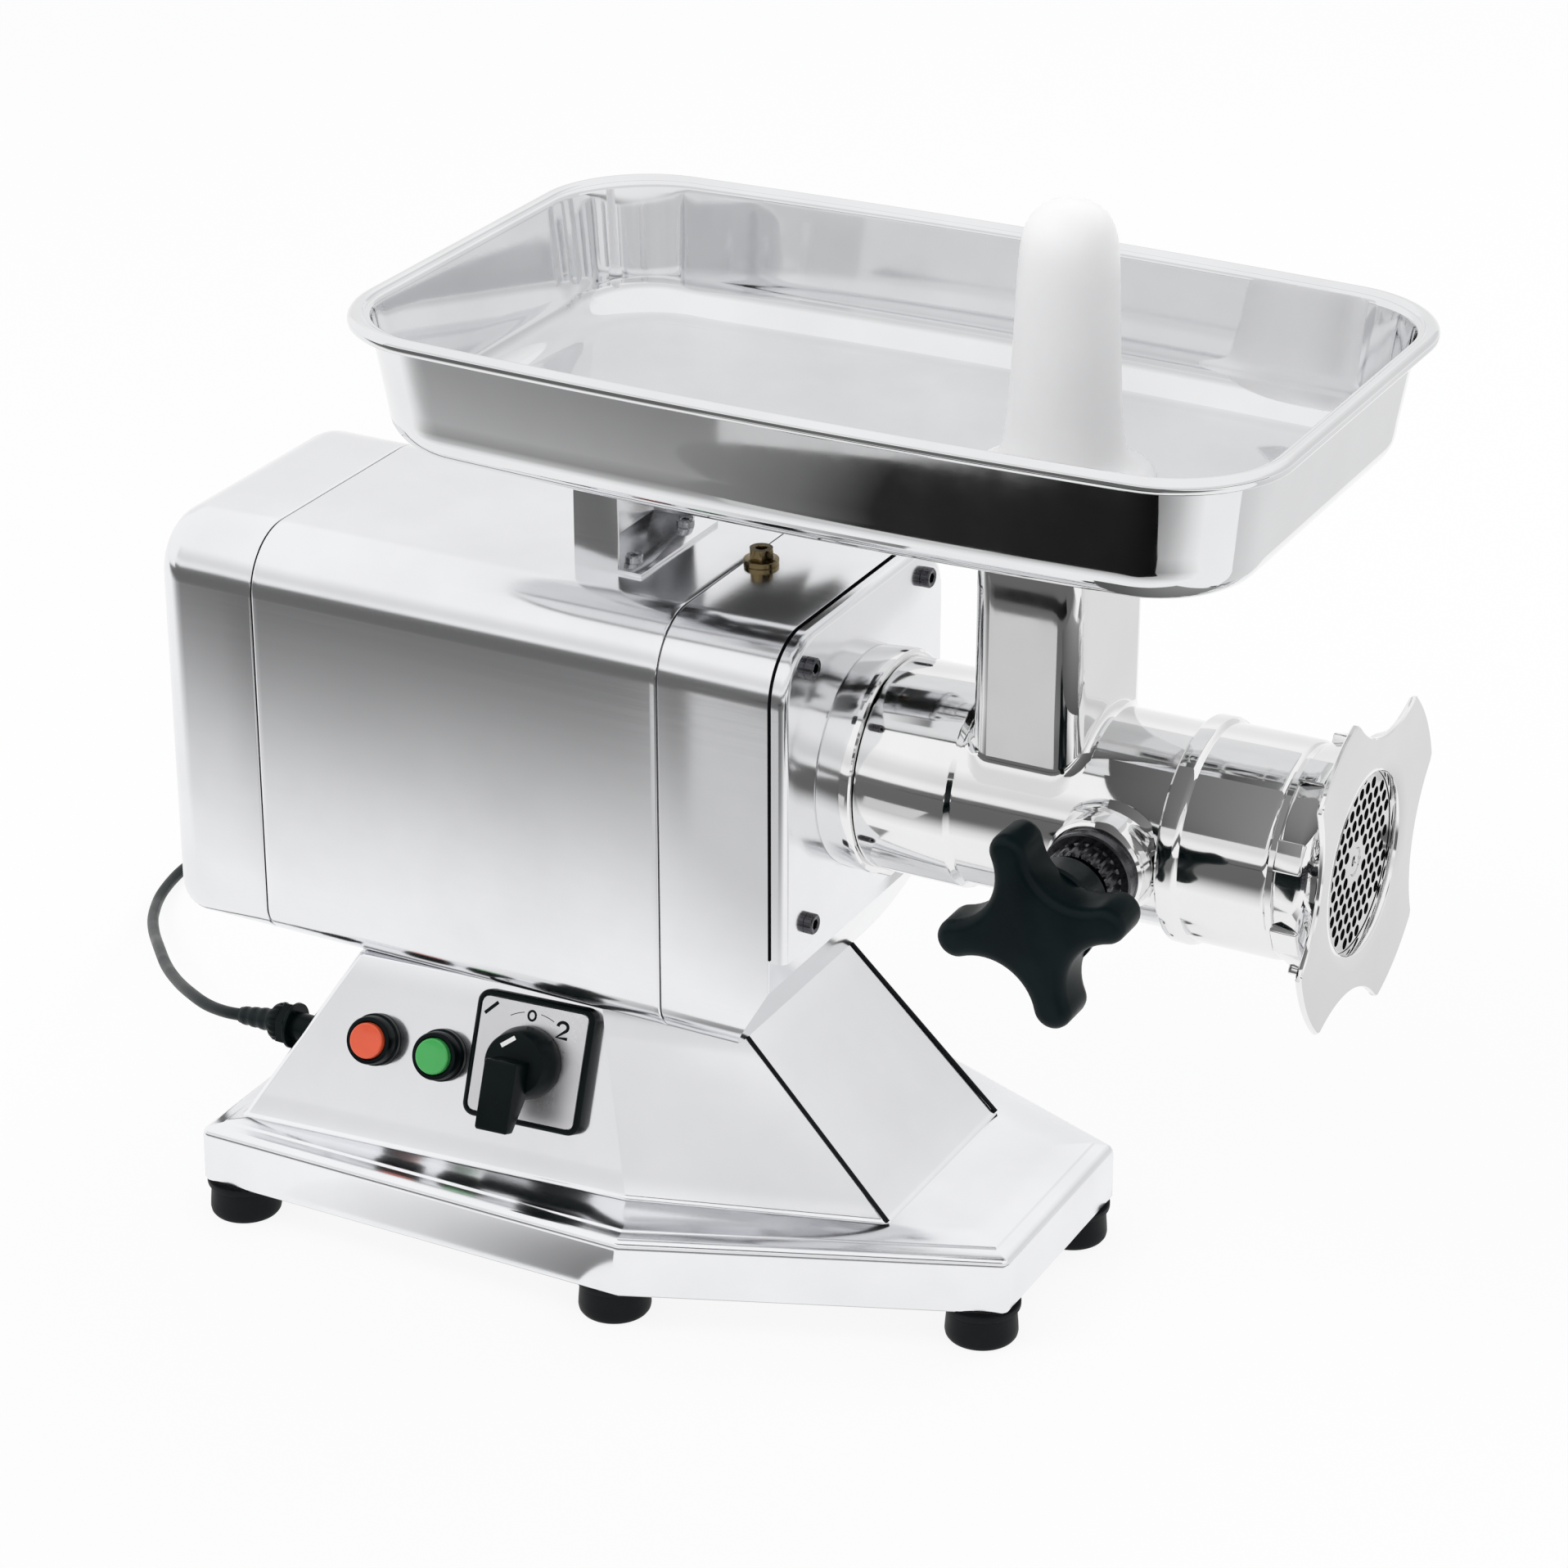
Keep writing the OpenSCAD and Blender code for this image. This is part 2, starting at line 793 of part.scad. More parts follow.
module tray_well(g) {
  z0 = tray_floor + g;
  r = 20 - g;
  intersection() {
    tray_layer(rim_w + g, z0, tray_top + (g > 0 ? 1 : 0));
    translate([(tray_rear + tray_front) / 2, 0, 0])
      rotate([90, 0, 0])
        well_cut((tray_front - tray_rear) / 2 - rim_w - g, r, z0, tray_top);
    rotate([90, 0, 90])
      well_cut(tray_half - rim_w - g, r, z0, tray_top);
  }
}

module tray() {
  color("silver") difference() {
    union() {
      difference() {
        tray_layer(0, tray_top - 6, tray_top);
        tray_layer(tray_t, tray_top - 7, tray_top - tray_t);
      }
      tray_well(0);
      throat_block(throat_wall + free_gap, tray_floor - 12, tray_floor + 1);
    }
    tray_well(tray_t);
    throat_block(throat_wall + free_gap + tray_t, tray_floor - 20, tray_floor + 10);
  }
}

module tray_bracket() {
  color("silver") difference() {
    union() {
      translate([-98, -42, hous_top])
        cube([40, 84, 2]);
      translate([-98, -42, hous_top])
        cube([2, 84, tray_floor - hous_top - 0.3]);
      translate([-98, -42, hous_top])
        cube([26, 2, tray_floor - hous_top - 0.3]);
      translate([-98, 40, hous_top])
        cube([26, 2, tray_floor - hous_top - 0.3]);
      translate([-98, -42, tray_floor - 2.3])
        cube([40, 84, 2]);
    }
    for (y = bracket_bolt_y)
      translate([bracket_bolt_x, y, hous_top - 1])
        cylinder(r = bolt_hole_r, h = 5, $fn = 32);
  }
}

module bracket_screws() {
  color("silver") for (y = bracket_bolt_y)
    translate([bracket_bolt_x, y, hous_top + 2]) {
      difference() {
        cylinder(d = 9.5, h = 4, $fn = 32);
        translate([0, 0, 1.5])
          cylinder(d = 4.6, h = 4, $fn = 6);
      }
      translate([0, 0, -8])
        cylinder(r = 2.5, h = 9, $fn = 32);
    }
}

module pusher() {
  color("white") translate([throat_x, 0, 0])
    rotate_extrude($fn = 96)
      polygon([[0, 400], [20, 400], [21.5, 402], [21.5, tray_floor + tray_t + 0.3],
        [46, tray_floor + tray_t + 0.3], [47, tray_floor + 4], [45, tray_floor + 8],
        [36, tray_floor + 12], [31, tray_floor + 20], [28.5, tray_floor + 40], [25.5, pusher_top - 38],
        [24, pusher_top - 20], [19, pusher_top - 8],
        [10, pusher_top - 1.5], [0, pusher_top]]);
}

// ---- controls ----
module bezel(uv) {
  color("#151515") on_panel(uv)
    difference() {
      union() {
        cylinder(d = 29, h = 4);
        cylinder(d = 27, h = 12);
        translate([0, 0, -20])
          cylinder(d = 22, h = 21);
      }
      translate([0, 0, -21])
        cylinder(r = 10 + free_gap, h = 40);
    }
}

module button(uv, c) {
  color(c) on_panel(uv)
    union() {
      translate([0, 0, 5])
        cylinder(r = 10, h = 9);
      translate([0, 0, 13])
        cylinder(r1 = 10, r2 = 9, h = 1.5);
      translate([0, 0, -14])
        cylinder(r = 4, h = 20);
    }
}

module stop_bezel() { bezel(stop_uv); }
module stop_button() { button(stop_uv, "orangered"); }
module start_bezel() { bezel(start_uv); }
module start_button() { button(start_uv, "limegreen"); }

module contact_blocks() {
  color("dimgray") for (uv = [stop_uv, start_uv])
    on_panel(uv)
      difference() {
        translate([-14, -14, -42])
          cube([28, 28, 22]);
        translate([0, 0, -24])
          cylinder(r = 5, h = 6);
      }
}

module switch_frame() {
  color("#151515") on_panel(switch_uv)
    difference() {
      linear_extrude(9)
        union() {
          square([2 * switch_half, 2 * switch_half - 8], center = true);
          square([2 * switch_half - 8, 2 * switch_half], center = true);
          for (i = [-1, 1]) for (j = [-1, 1])
            translate([i * (switch_half - 4), j * (switch_half - 4)])
              circle(r = 4);
        }
      translate([3 - switch_half, 3 - switch_half, 7])
        cube([2 * switch_half - 6, 2 * switch_half - 6, 3]);
      translate([0, 0, -1])
        cylinder(r = 15, h = 12);
    }
}

module switch_face() {
  color("gainsboro") on_panel(switch_uv)
    difference() {
      translate([3.1 - switch_half, 3.1 - switch_half, 7])
        cube([2 * switch_half - 6.2, 2 * switch_half - 6.2, 1.6]);
      translate([0, 0, 6])
        cylinder(r = 15, h = 4);
    }
}

module switch_handle() {
  color("#151515") on_panel(switch_uv, 9)
    union() {
      translate([0, 0, 0.3])
        cylinder(r = 20, h = 6);
      translate([0, 0, 6])
        cylinder(r1 = 20, r2 = 16, h = 13);
      rotate([90, 0, 90])
        translate([0, 0, -9.5])
          linear_extrude(19)
            polygon([[3, 16], [3, lever_h], [-35.5, lever_h], [-35.5, lever_h - 9], [-18, 16]]);
      translate([0, 0, -14])
        cylinder(r = 4, h = 15);
    }
}

module switch_body() {
  color("dimgray") on_panel(switch_uv)
    difference() {
      union() {
        translate([-24, -24, -46])
          cube([48, 48, 42]);
        translate([0, 0, -5])
          cylinder(r = 14.5, h = 12);
      }
      translate([0, 0, -16])
        cylinder(r = 4 + free_gap, h = 30);
    }
}

// ---- cord ----
module cord_gland() {
  x = gland_p[0];
  color("#151515") difference() {
    union() {
      rod(8.25, x - 11, x + 14, gland_p[2], gland_p[1]);
      rod(13, x - 18, x - 10, gland_p[2], gland_p[1]);
      rod(11, x - gland_len, x - 17, gland_p[2], gland_p[1]);
    }
    rod(cord_d / 2, x - 30, x + 30, gland_p[2], gland_p[1]);
  }
}

module strain_relief() {
  x = gland_p[0] - gland_len;
  color("#151515") translate([x, gland_p[1], gland_p[2] - 0.4])
    rotate([0, -90 - 3.5, 0])
      difference() {
        cylinder(r1 = 7, r2 = 4.6, h = 22);
        translate([0, 0, -1])
          cylinder(r = cord_d / 2 - 0.01, h = 40);
      }
}

function unit(v) = v / norm(v);
function spline(p, i, t) = let (a = p[max(i - 1, 0)], b = p[i], c = p[i + 1],
  d = p[min(i + 2, len(p) - 1)])
  0.5 * (2 * b + (c - a) * t + (2 * a - 5 * b + 4 * c - d) * t * t
  + (3 * b - a - 3 * c + d) * t * t * t);
function path_pts(p, n) = concat([for (i = [0:len(p) - 2]) for (k = [0:n - 1]) spline(p, i, k / n)],
  [p[len(p) - 1]]);
function side_of(t) = unit(cross(t, [0, 0, 1]));

module tube(p, r, n = 10) {
  m = len(p);
  tg = [for (i = [0:m - 1]) unit(p[min(i + 1, m - 1)] - p[max(i - 1, 0)])];
  pts = [for (i = [0:m - 1]) for (k = [0:n - 1])
    let (s = side_of(tg[i]), u = cross(s, tg[i])) p[i] + r * (cos(k * 360 / n) * s + sin(k * 360 / n) * u)];
  faces = concat([[for (k = [n - 1:-1:0]) k]],
    [for (i = [0:m - 2]) for (k = [0:n - 1])
      [i * n + k, i * n + (k + 1) % n, (i + 1) * n + (k + 1) % n, (i + 1) * n + k]],
    [[for (k = [0:n - 1]) (m - 1) * n + k]]);
  polyhedron(pts, faces);
}

module power_cord() {
  color("#101010") tube(path_pts(tube_pts, 4), cord_d / 2);
}

module cord_coil() {
  color("#101010") translate([coil_c[0], coil_c[1], 0])
    rotate_extrude()
      for (i = [-1, 1]) for (j = [0, 1])
        translate([coil_d / 2 + i * cord_d / 2, cord_lay + j * cord_d])
          circle(r = cord_lay, $fn = 32);
}

module power_plug() {
  y = coil_c[1] + coil_out_r;
  color("#101010") union() {
    translate([coil_c[0], y, cord_lay + cord_d])
      rotate([0, 90 - asin((plug_r + 0.1 - cord_lay - cord_d) / plug_lead), 0])
        cylinder(r1 = cord_d / 2, r2 = 7, h = plug_lead);
    rod(plug_r, coil_c[0] + plug_lead - 2, coil_c[0] + plug_lead + 30, plug_r + 0.1, y);
  }
}

module plug_pins() {
  y = coil_c[1] + coil_out_r;
  color("silver") for (s = [-9.5, 9.5])
    rod(2.4, coil_c[0] + plug_lead + 30, coil_c[0] + plug_lead + 49, plug_r + 0.1, y + s);
}

// ---- motor and gears ----
module motor_stator() {
  color("dimgray") ring(motor_r, rotor_r + 0.4, motor_x0, motor_x1, motor_z);
}

module motor_windings() {
  color("peru") {
    ring(motor_r - 6, rotor_r + 3, motor_x0 - 16, motor_x0 - 0.1, motor_z);
    ring(motor_r - 6, rotor_r + 3, motor_x1 + 0.1, motor_x1 + 16, motor_z);
  }
}

module motor_rotor() {
  color("gray") ring(rotor_r, motor_shaft_r, motor_x0, motor_x1, motor_z);
}

module motor_shaft() {
  color("silver") union() {
    rod(motor_shaft_r, motor_x0 - 50, motor_x1 + 52, motor_z);
    rod(7, motor_x1 + 51.5, stage_a_x + 20, motor_z);
  }
}

module motor_shields() {
  color("silver") for (s = [0, 1])
    difference() {
      union() {
        rod(motor_r, s == 0 ? motor_x0 - 28 : motor_x1 + 16, s == 0 ? motor_x0 - 22 : motor_x1 + 28,
          motor_z);
        ring(motor_r, motor_r - 4.5, s == 0 ? motor_x0 - 22.5 : motor_x1,
          s == 0 ? motor_x0 : motor_x1 + 17, motor_z);
      }
      rod(17.5, motor_x0 - 60, motor_x1 + 50, motor_z);
    }
}

module motor_bearings() {
  color("silver") {
    ring(17.48, motor_shaft_r + run_gap, motor_x0 - 29, motor_x0 - 20, motor_z);
    ring(17.48, motor_shaft_r + run_gap, motor_x1 + 16, motor_x1 + 26, motor_z);
  }
}

module cooling_fan() {
  color("#303030") union() {
    ring(14, motor_shaft_r, motor_x0 - 48, motor_x0 - 32, motor_z);
    difference() {
      rod(motor_r - 13, motor_x0 - 35, motor_x0 - 33, motor_z);
      rod(10, motor_x0 - 36, motor_x0 - 30, motor_z);
    }
    for (i = [0:9])
      translate([motor_x0 - 46, 0, motor_z])
        rotate([36 * i, 0, 0])
          translate([0, -1, 13])
            cube([12, 2, 34]);
  }
}

module motor_pinion() {
  color("silver") gear(mod_a, teeth_motor, 7, stage_a_x, stage_a_x + 18, motor_z, 270 + 180 / teeth_motor);
}

module gearbox_case() {
  color("lightgray") difference() {
    union() {
      hous_block(9, -122, front_seam - 9);
      hous_block(2, front_seam - 10, front_seam);
    }
    hous_block(17, -112, front_seam + 1);
    rod(9.5, -130, -100, motor_z);
    rod(14, -125, -111, mid_z);
  }
}

module mid_shaft() {
  color("silver") rod(10, -118, front_face - 13, mid_z);
}

module mid_gear() {
  color("silver") gear(mod_a, teeth_mid, 10, stage_a_x + 1, stage_a_x + 17, mid_z, 90);
}

module mid_pinion() {
  color("silver") gear(mod_b, teeth_small, 10, stage_b_x, stage_b_x + 28, mid_z, 90);
}

module gear_bearings() {
  color("silver") {
    ring(13.98, 10 + run_gap, -121, -111.5, mid_z);
    ring(13.98, 10 + run_gap, front_face - 22, front_face - 12, mid_z);
    ring(26.98, shaft_r + run_gap, 1, 15);
    ring(26.98, shaft_r + run_gap, front_face - 19, front_face - 5);
  }
}

module drive_shaft() {
  color("silver") difference() {
    rod(shaft_r, stage_b_x - 4, front_face + 3.8);
    translate([front_face - 15, -12, axis_z - 12])
      cube([30, 24, 24]);
  }
}

module drive_gear() {
  color("silver") gear(mod_b, teeth_out, shaft_r, stage_b_x + 2, stage_b_x + 26, axis_z, 270 + 180 / teeth_out);
}

module oil_seal() {
  color("#303030") ring(26.98, shaft_r + free_gap, front_face - 4, front_face + 3.5);
}

module capacitor() {
  color("whitesmoke") rod(20, -140, -60, base_top + 20.2, 20);
}

base_tray();
bottom_cover();
feet();
foot_bolts();
pedestal();
pedestal_screws();
housing_sleeve();
rear_cap();
cap_screws();
front_casing();
front_plate();
plate_screws();
oil_plug();
neck_flange();
head_body();
lock_stud();
lock_collar();
lock_knob();
worm();
worm_pin();
thrust_washer();
knife();
grinder_plate();
ring_nut();
tray();
tray_bracket();
bracket_screws();
pusher();
stop_bezel();
stop_button();
start_bezel();
start_button();
contact_blocks();
switch_frame();
switch_face();
switch_handle();
switch_body();
cord_gland();
strain_relief();
power_cord();
cord_coil();
power_plug();
plug_pins();
motor_stator();
motor_windings();
motor_rotor();
motor_shaft();
motor_shields();
motor_bearings();
cooling_fan();
motor_pinion();
gearbox_case();
mid_shaft();
mid_gear();
mid_pinion();
gear_bearings();
drive_shaft();
drive_gear();
oil_seal();
capacitor();
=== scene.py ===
"""Looks of an electric meat grinder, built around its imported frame.

Every size is in millimetres until a piece's vertices are written, in metres, in the frame's own axes:
+X towards the outlet, -Y towards the controls, +Z up, origin on the floor under the middle of the box.
"""

import json
import logging
import math
from contextlib import contextmanager
from dataclasses import dataclass, field
from enum import Enum
from functools import partial
from typing import Callable, Iterable, Iterator, Optional, Sequence, Union

import bmesh
import bpy
import numpy as np
from mathutils import Matrix, Vector


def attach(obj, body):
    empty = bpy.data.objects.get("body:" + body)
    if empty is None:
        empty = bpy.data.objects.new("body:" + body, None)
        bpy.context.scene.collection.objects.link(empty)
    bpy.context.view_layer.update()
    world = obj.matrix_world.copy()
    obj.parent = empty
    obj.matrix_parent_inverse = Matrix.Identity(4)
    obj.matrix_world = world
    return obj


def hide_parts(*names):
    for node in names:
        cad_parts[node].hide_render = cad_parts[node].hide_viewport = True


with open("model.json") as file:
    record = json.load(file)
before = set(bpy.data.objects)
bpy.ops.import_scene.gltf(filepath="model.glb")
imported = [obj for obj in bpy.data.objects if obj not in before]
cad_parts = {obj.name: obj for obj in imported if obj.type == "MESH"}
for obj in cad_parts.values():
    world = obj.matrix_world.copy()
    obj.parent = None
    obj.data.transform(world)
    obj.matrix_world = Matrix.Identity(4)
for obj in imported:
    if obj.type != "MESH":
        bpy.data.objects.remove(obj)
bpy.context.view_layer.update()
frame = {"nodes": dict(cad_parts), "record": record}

MM = 0.001
TAU = 2 * math.pi
AXIS_Z = 296.5
LOG = logging.getLogger("grinder")
Array = np.ndarray
Outline = Union[Array, Callable[[float], Array]]
Wave = Callable[[Array, int], Array]
Value = Union[bpy.types.NodeSocket, float, Sequence[float]]


# ---------------------------------------------------------------- mesh tools


def linked(name: str, data: bpy.types.ID) -> bpy.types.Object:
    """Makes an object around its data and links it to the scene.

    Args:
        name: the object's name.
        data: a mesh, curve, lamp or camera.

    Returns:
        The new object.
    """
    obj = bpy.data.objects.new(name, data)
    bpy.context.scene.collection.objects.link(obj)
    return obj


class Ends(Enum):
    """How the two ends of a swept grid are finished."""

    OPEN = "open"
    FLAT = "flat"
    LOOP = "loop"


@dataclass
class Shell:
    """Vertices and faces gathered from several grids, and turned into one object at the end."""

    verts: list[Array] = field(default_factory=list)
    faces: list[list[int]] = field(default_factory=list)
    count: int = 0

    def add(self, rings: Array, ends: Ends = Ends.FLAT, closed: bool = True) -> "Shell":
        """Adds a grid of rings as quads: point j of ring i joins points j and j+1 of ring i+1.

        Args:
            rings: points, shape (rings, points, 3), in millimetres.
            ends: FLAT closes the first and last ring with a face, LOOP joins last ring to first.
            closed: whether the last point of a ring joins its first.

        Returns:
            This shell, so that calls can be chained.
        """
        m, n = rings.shape[:2]
        ids = self.count + np.arange(m * n).reshape(m, n)
        if closed:
            ids = np.concatenate([ids, ids[:, :1]], axis=1)
        if ends is Ends.LOOP:
            ids = np.concatenate([ids, ids[:1]], axis=0)
        quads = np.stack([ids[:-1, :-1], ids[:-1, 1:], ids[1:, 1:], ids[1:, :-1]], axis=-1)
        self.faces += quads.reshape(-1, 4).tolist()
        if ends is Ends.FLAT:
            self.faces.append(ids[0, :n][::-1].tolist())
            self.faces.append(ids[-1, :n].tolist())
        self.verts.append(rings.reshape(-1, 3))
        self.count += m * n
        return self

    def mesh(self, name: str) -> bpy.types.Object:
        """Makes the object: doubles merged, faces outwards, edges above 32 degrees sharp.

        Args:
            name: the piece's name.

        Returns:
            The new object, linked to the scene.
        """
        data = bpy.data.meshes.new(name)
        data.from_pydata((np.concatenate(self.verts) * MM).tolist(), [], self.faces)
        obj = linked(name, data)
        tidy(obj)
        return obj


@contextmanager
def edited(obj: bpy.types.Object) -> Iterator[bmesh.types.BMesh]:
    """Opens a mesh for editing, and writes it back with its faces pointing outwards.

    Args:
        obj: a mesh object.

    Returns:
        A context that gives the mesh to edit.
    """
    bm = bmesh.new()
    bm.from_mesh(obj.data)
    yield bm
    bmesh.ops.recalc_face_normals(bm, faces=bm.faces)
    bm.to_mesh(obj.data)
    bm.free()


def tidy(obj: bpy.types.Object, sharp: float = 32.0, merge: float = 2e-6) -> None:
    """Merges doubles, points the faces outwards and marks the sharp edges.

    Args:
        obj: a mesh object.
        sharp: angle in degrees from which an edge stays sharp.
        merge: distance in metres under which two vertices become one.
    """
    with edited(obj) as bm:
        bmesh.ops.remove_doubles(bm, verts=bm.verts, dist=merge)
        bmesh.ops.dissolve_degenerate(bm, dist=1e-7, edges=bm.edges)
    smooth(obj, sharp)


def smooth(obj: bpy.types.Object, sharp: float = 32.0) -> None:
    """Shades the mesh smooth, with edges above an angle kept sharp.

    Args:
        obj: a mesh object.
        sharp: that angle in degrees.
    """
    obj.data.polygons.foreach_set("use_smooth", np.ones(len(obj.data.polygons), bool))
    obj.data.set_sharp_from_angle(angle=math.radians(sharp))
    obj.data.update()


def bake_modifiers(obj: bpy.types.Object) -> None:
    """Replaces the mesh by its evaluated form and drops the modifiers.

    Args:
        obj: a mesh object.
    """
    graph = bpy.context.evaluated_depsgraph_get()
    made = bpy.data.meshes.new_from_object(obj.evaluated_get(graph))
    obj.modifiers.clear()
    obj.data = made


def soften(obj: bpy.types.Object, width: float, angle: float = 30.0, segments: int = 3) -> None:
    """Rounds the edges of a mesh with a Bevel that is applied at once.

    Args:
        obj: a mesh object.
        width: bevel width in millimetres.
        angle: edges sharper than this many degrees are rounded.
        segments: faces across the round.
    """
    bevel = obj.modifiers.new("round", "BEVEL")
    bevel.width, bevel.segments = width * MM, segments
    bevel.limit_method, bevel.angle_limit = "ANGLE", math.radians(angle)
    bake_modifiers(obj)
    smooth(obj, 40)


def cut(obj: bpy.types.Object, *cutters: bpy.types.Object) -> None:
    """Takes the cutters out of a mesh with exact booleans and removes them.

    Args:
        obj: the piece.
        cutters: closed meshes, deleted afterwards.
    """
    for cutter in cutters:
        step = obj.modifiers.new("cut", "BOOLEAN")
        step.operation, step.solver, step.object = "DIFFERENCE", "EXACT", cutter
        bake_modifiers(obj)
        bpy.data.objects.remove(cutter)
    smooth(obj)


def slice_off(obj: bpy.types.Object, point: Sequence[float], normal: Sequence[float]) -> None:
    """Cuts away what lies on the normal's side of a plane and closes the cut.

    Args:
        obj: a closed mesh.
        point: a point of the plane, in millimetres.
        normal: its direction, towards what goes.
    """
    with edited(obj) as bm:
        geom = list(bm.verts) + list(bm.edges) + list(bm.faces)
        made = bmesh.ops.bisect_plane(
            bm, geom=geom, dist=1e-7, plane_co=Vector(point) * MM, plane_no=Vector(normal), clear_outer=True
        )
        bmesh.ops.holes_fill(bm, edges=[e for e in made["geom_cut"] if isinstance(e, bmesh.types.BMEdge)])
    smooth(obj)


# ---------------------------------------------------------------- outlines


def bisected(corners: Array) -> tuple[Array, Array, Array, Array]:
    """Directions at the corners of a convex polygon.

    Args:
        corners: polygon points in order, shape (k, 2).

    Returns:
        Unit vectors to the corner before, to the one after and along the bisector, and half the corner's angle.
    """
    a, b = np.roll(corners, 1, 0) - corners, np.roll(corners, -1, 0) - corners
    a /= np.linalg.norm(a, axis=1, keepdims=True)
    b /= np.linalg.norm(b, axis=1, keepdims=True)
    mid = a + b
    half = np.arccos(np.clip((a * b).sum(1, keepdims=True), -1, 1)) / 2
    return a, b, mid / np.linalg.norm(mid, axis=1, keepdims=True), half


def rounded(corners: Array, radii: Sequence[float], steps: int = 8) -> Array:
    """Outline of a convex polygon with rounded corners.

    Each corner becomes an arc that touches both sides: its centre lies on the bisector at
    radius / sin(half angle), and the arc turns by 180 degrees less the corner's angle.

    Args:
        corners: polygon points in order, shape (k, 2).
        radii: one radius for each corner.
        steps: arc pieces at each corner.

    Returns:
        Points of shape (k * (steps + 1), 2).
    """
    p = np.asarray(corners, float)
    r = np.maximum(np.asarray(radii, float), 1e-3)[:, None]
    a, b, mid, half = bisected(p)
    centre = p + mid * r / np.sin(half)
    start = p + a * r / np.tan(half) - centre
    end = p + b * r / np.tan(half) - centre
    t = np.linspace(0, 1, steps + 1)[None, :, None]
    total = (math.pi - 2 * half)[:, None, :]
    arc = (np.sin((1 - t) * total) * start[:, None] + np.sin(t * total) * end[:, None]) / np.sin(total)
    return (centre[:, None] + arc).reshape(-1, 2)


def inset_corners(corners: Array, inset: float) -> Array:
    """Moves every side of a convex polygon inwards by a distance.

    A corner moves along its bisector by inset / sin(half angle).

    Args:
        corners: polygon points, shape (k, 2).
        inset: distance in millimetres, negative for outwards.

    Returns:
        The new corners.
    """
    p = np.asarray(corners, float)
    _, _, mid, half = bisected(p)
    return p + mid * inset / np.sin(half)


def shrunk(loop: Array, d: float) -> Array:
    """Moves each point of a counter-clockwise outline inwards along its own normal.

    Args:
        loop: points, shape (n, 2).
        d: distance in millimetres.

    Returns:
        The moved points.
    """
    tangent = np.roll(loop, -1, 0) - np.roll(loop, 1, 0)
    tangent /= np.linalg.norm(tangent, axis=1, keepdims=True)
    return loop + np.stack([-tangent[:, 1], tangent[:, 0]], 1) * d


def box2(half_a: float, half_b: float) -> Array:
    """Corners of a rectangle about the origin, counter-clockwise."""
    return np.array([[half_a, -half_b], [half_a, half_b], [-half_a, half_b], [-half_a, -half_b]])


def resampled(loop: Array, spacing: float) -> Array:
    """Adds points on the long stretches of a closed outline.

    Args:
        loop: points, shape (n, 2).
        spacing: longest stretch that may stay, in millimetres.

    Returns:
        The outline with every stretch cut into equal parts no longer than the spacing.
    """
    step = np.roll(loop, -1, 0) - loop
    parts = np.maximum(1, np.ceil(np.linalg.norm(step, axis=1) / spacing).astype(int))
    index = np.repeat(np.arange(len(loop)), parts)
    part = np.arange(len(index)) - np.repeat(np.cumsum(parts) - parts, parts)
    return loop[index] + step[index] * (part / parts[index])[:, None]


def fillet(radius: float, steps: int = 5) -> list[tuple[float, float]]:
    """Quarter round from a flat face to a side: pairs (inset, drop) from (radius, 0) to (0, radius)."""
    t = np.linspace(0, math.pi / 2, steps + 1)
    return [(radius * (1 - math.sin(x)), radius * (1 - math.cos(x))) for x in t]


def flow(points: Sequence[Sequence[float]], steps: int = 8) -> Array:
    """Smooth curve through points (Catmull-Rom cubic on each stretch).

    Args:
        points: the points, shape (k, d).
        steps: pieces between two points.

    Returns:
        Points of shape ((k - 1) * steps + 1, d).
    """
    p = np.asarray(points, float)
    q = np.concatenate([2 * p[:1] - p[1:2], p, 2 * p[-1:] - p[-2:-1]])
    t = (np.arange(steps) / steps)[None, :, None]
    a, b, c, d = (q[i : len(q) - 3 + i, None] for i in range(4))
    body = b + 0.5 * t * (c - a + t * (2 * a - 5 * b + 4 * c - d + t * (3 * (b - c) + d - a)))
    return np.concatenate([body.reshape(-1, p.shape[1]), p[-1:]])


# ---------------------------------------------------------------- placing


@dataclass(frozen=True)
class Place:
    """A local frame: where its origin is and where its three axes point."""

    origin: tuple[float, float, float]
    a: tuple[float, float, float]
    b: tuple[float, float, float]
    c: tuple[float, float, float]

    def put(self, pts: Array) -> Array:
        """Takes local points (a, b, c) to the frame of the whole object."""
        return np.asarray(pts, float) @ np.array([self.a, self.b, self.c], float) + np.array(self.origin)


def along_x(x: float = 0, y: float = 0, z: float = AXIS_Z) -> Place:
    """Frame whose c axis runs along +X, a along +Y and b along +Z."""
    return Place((x, y, z), (0, 1, 0), (0, 0, 1), (1, 0, 0))


def along_z(x: float = 0, y: float = 0, z: float = 0) -> Place:
    """Frame whose axes are those of the object, moved to a point."""
    return Place((x, y, z), (1, 0, 0), (0, 1, 0), (0, 0, 1))


def towards_user(x: float, y: float, z: float) -> Place:
    """Frame whose c axis runs along -Y, towards who works the controls."""
    return Place((x, y, z), (1, 0, 0), (0, 0, 1), (0, -1, 0))


def prism_rings(outline: Outline, profile: Iterable[Sequence[float]], place: Place) -> Array:
    """Rings of a prism whose outline shrinks by an inset at each height of a profile.

    Args:
        outline: the outline, shape (n, 2), or a function that gives it for an inset.
        profile: pairs (inset, height).
        place: the frame the outline lies in.

    Returns:
        Rings of shape (len(profile), n, 3).
    """
    rings = []
    for inset, height in profile:
        loop = outline(inset) if callable(outline) else outline
        rings.append(place.put(np.column_stack([loop, np.full(len(loop), height)])))
    return np.array(rings)


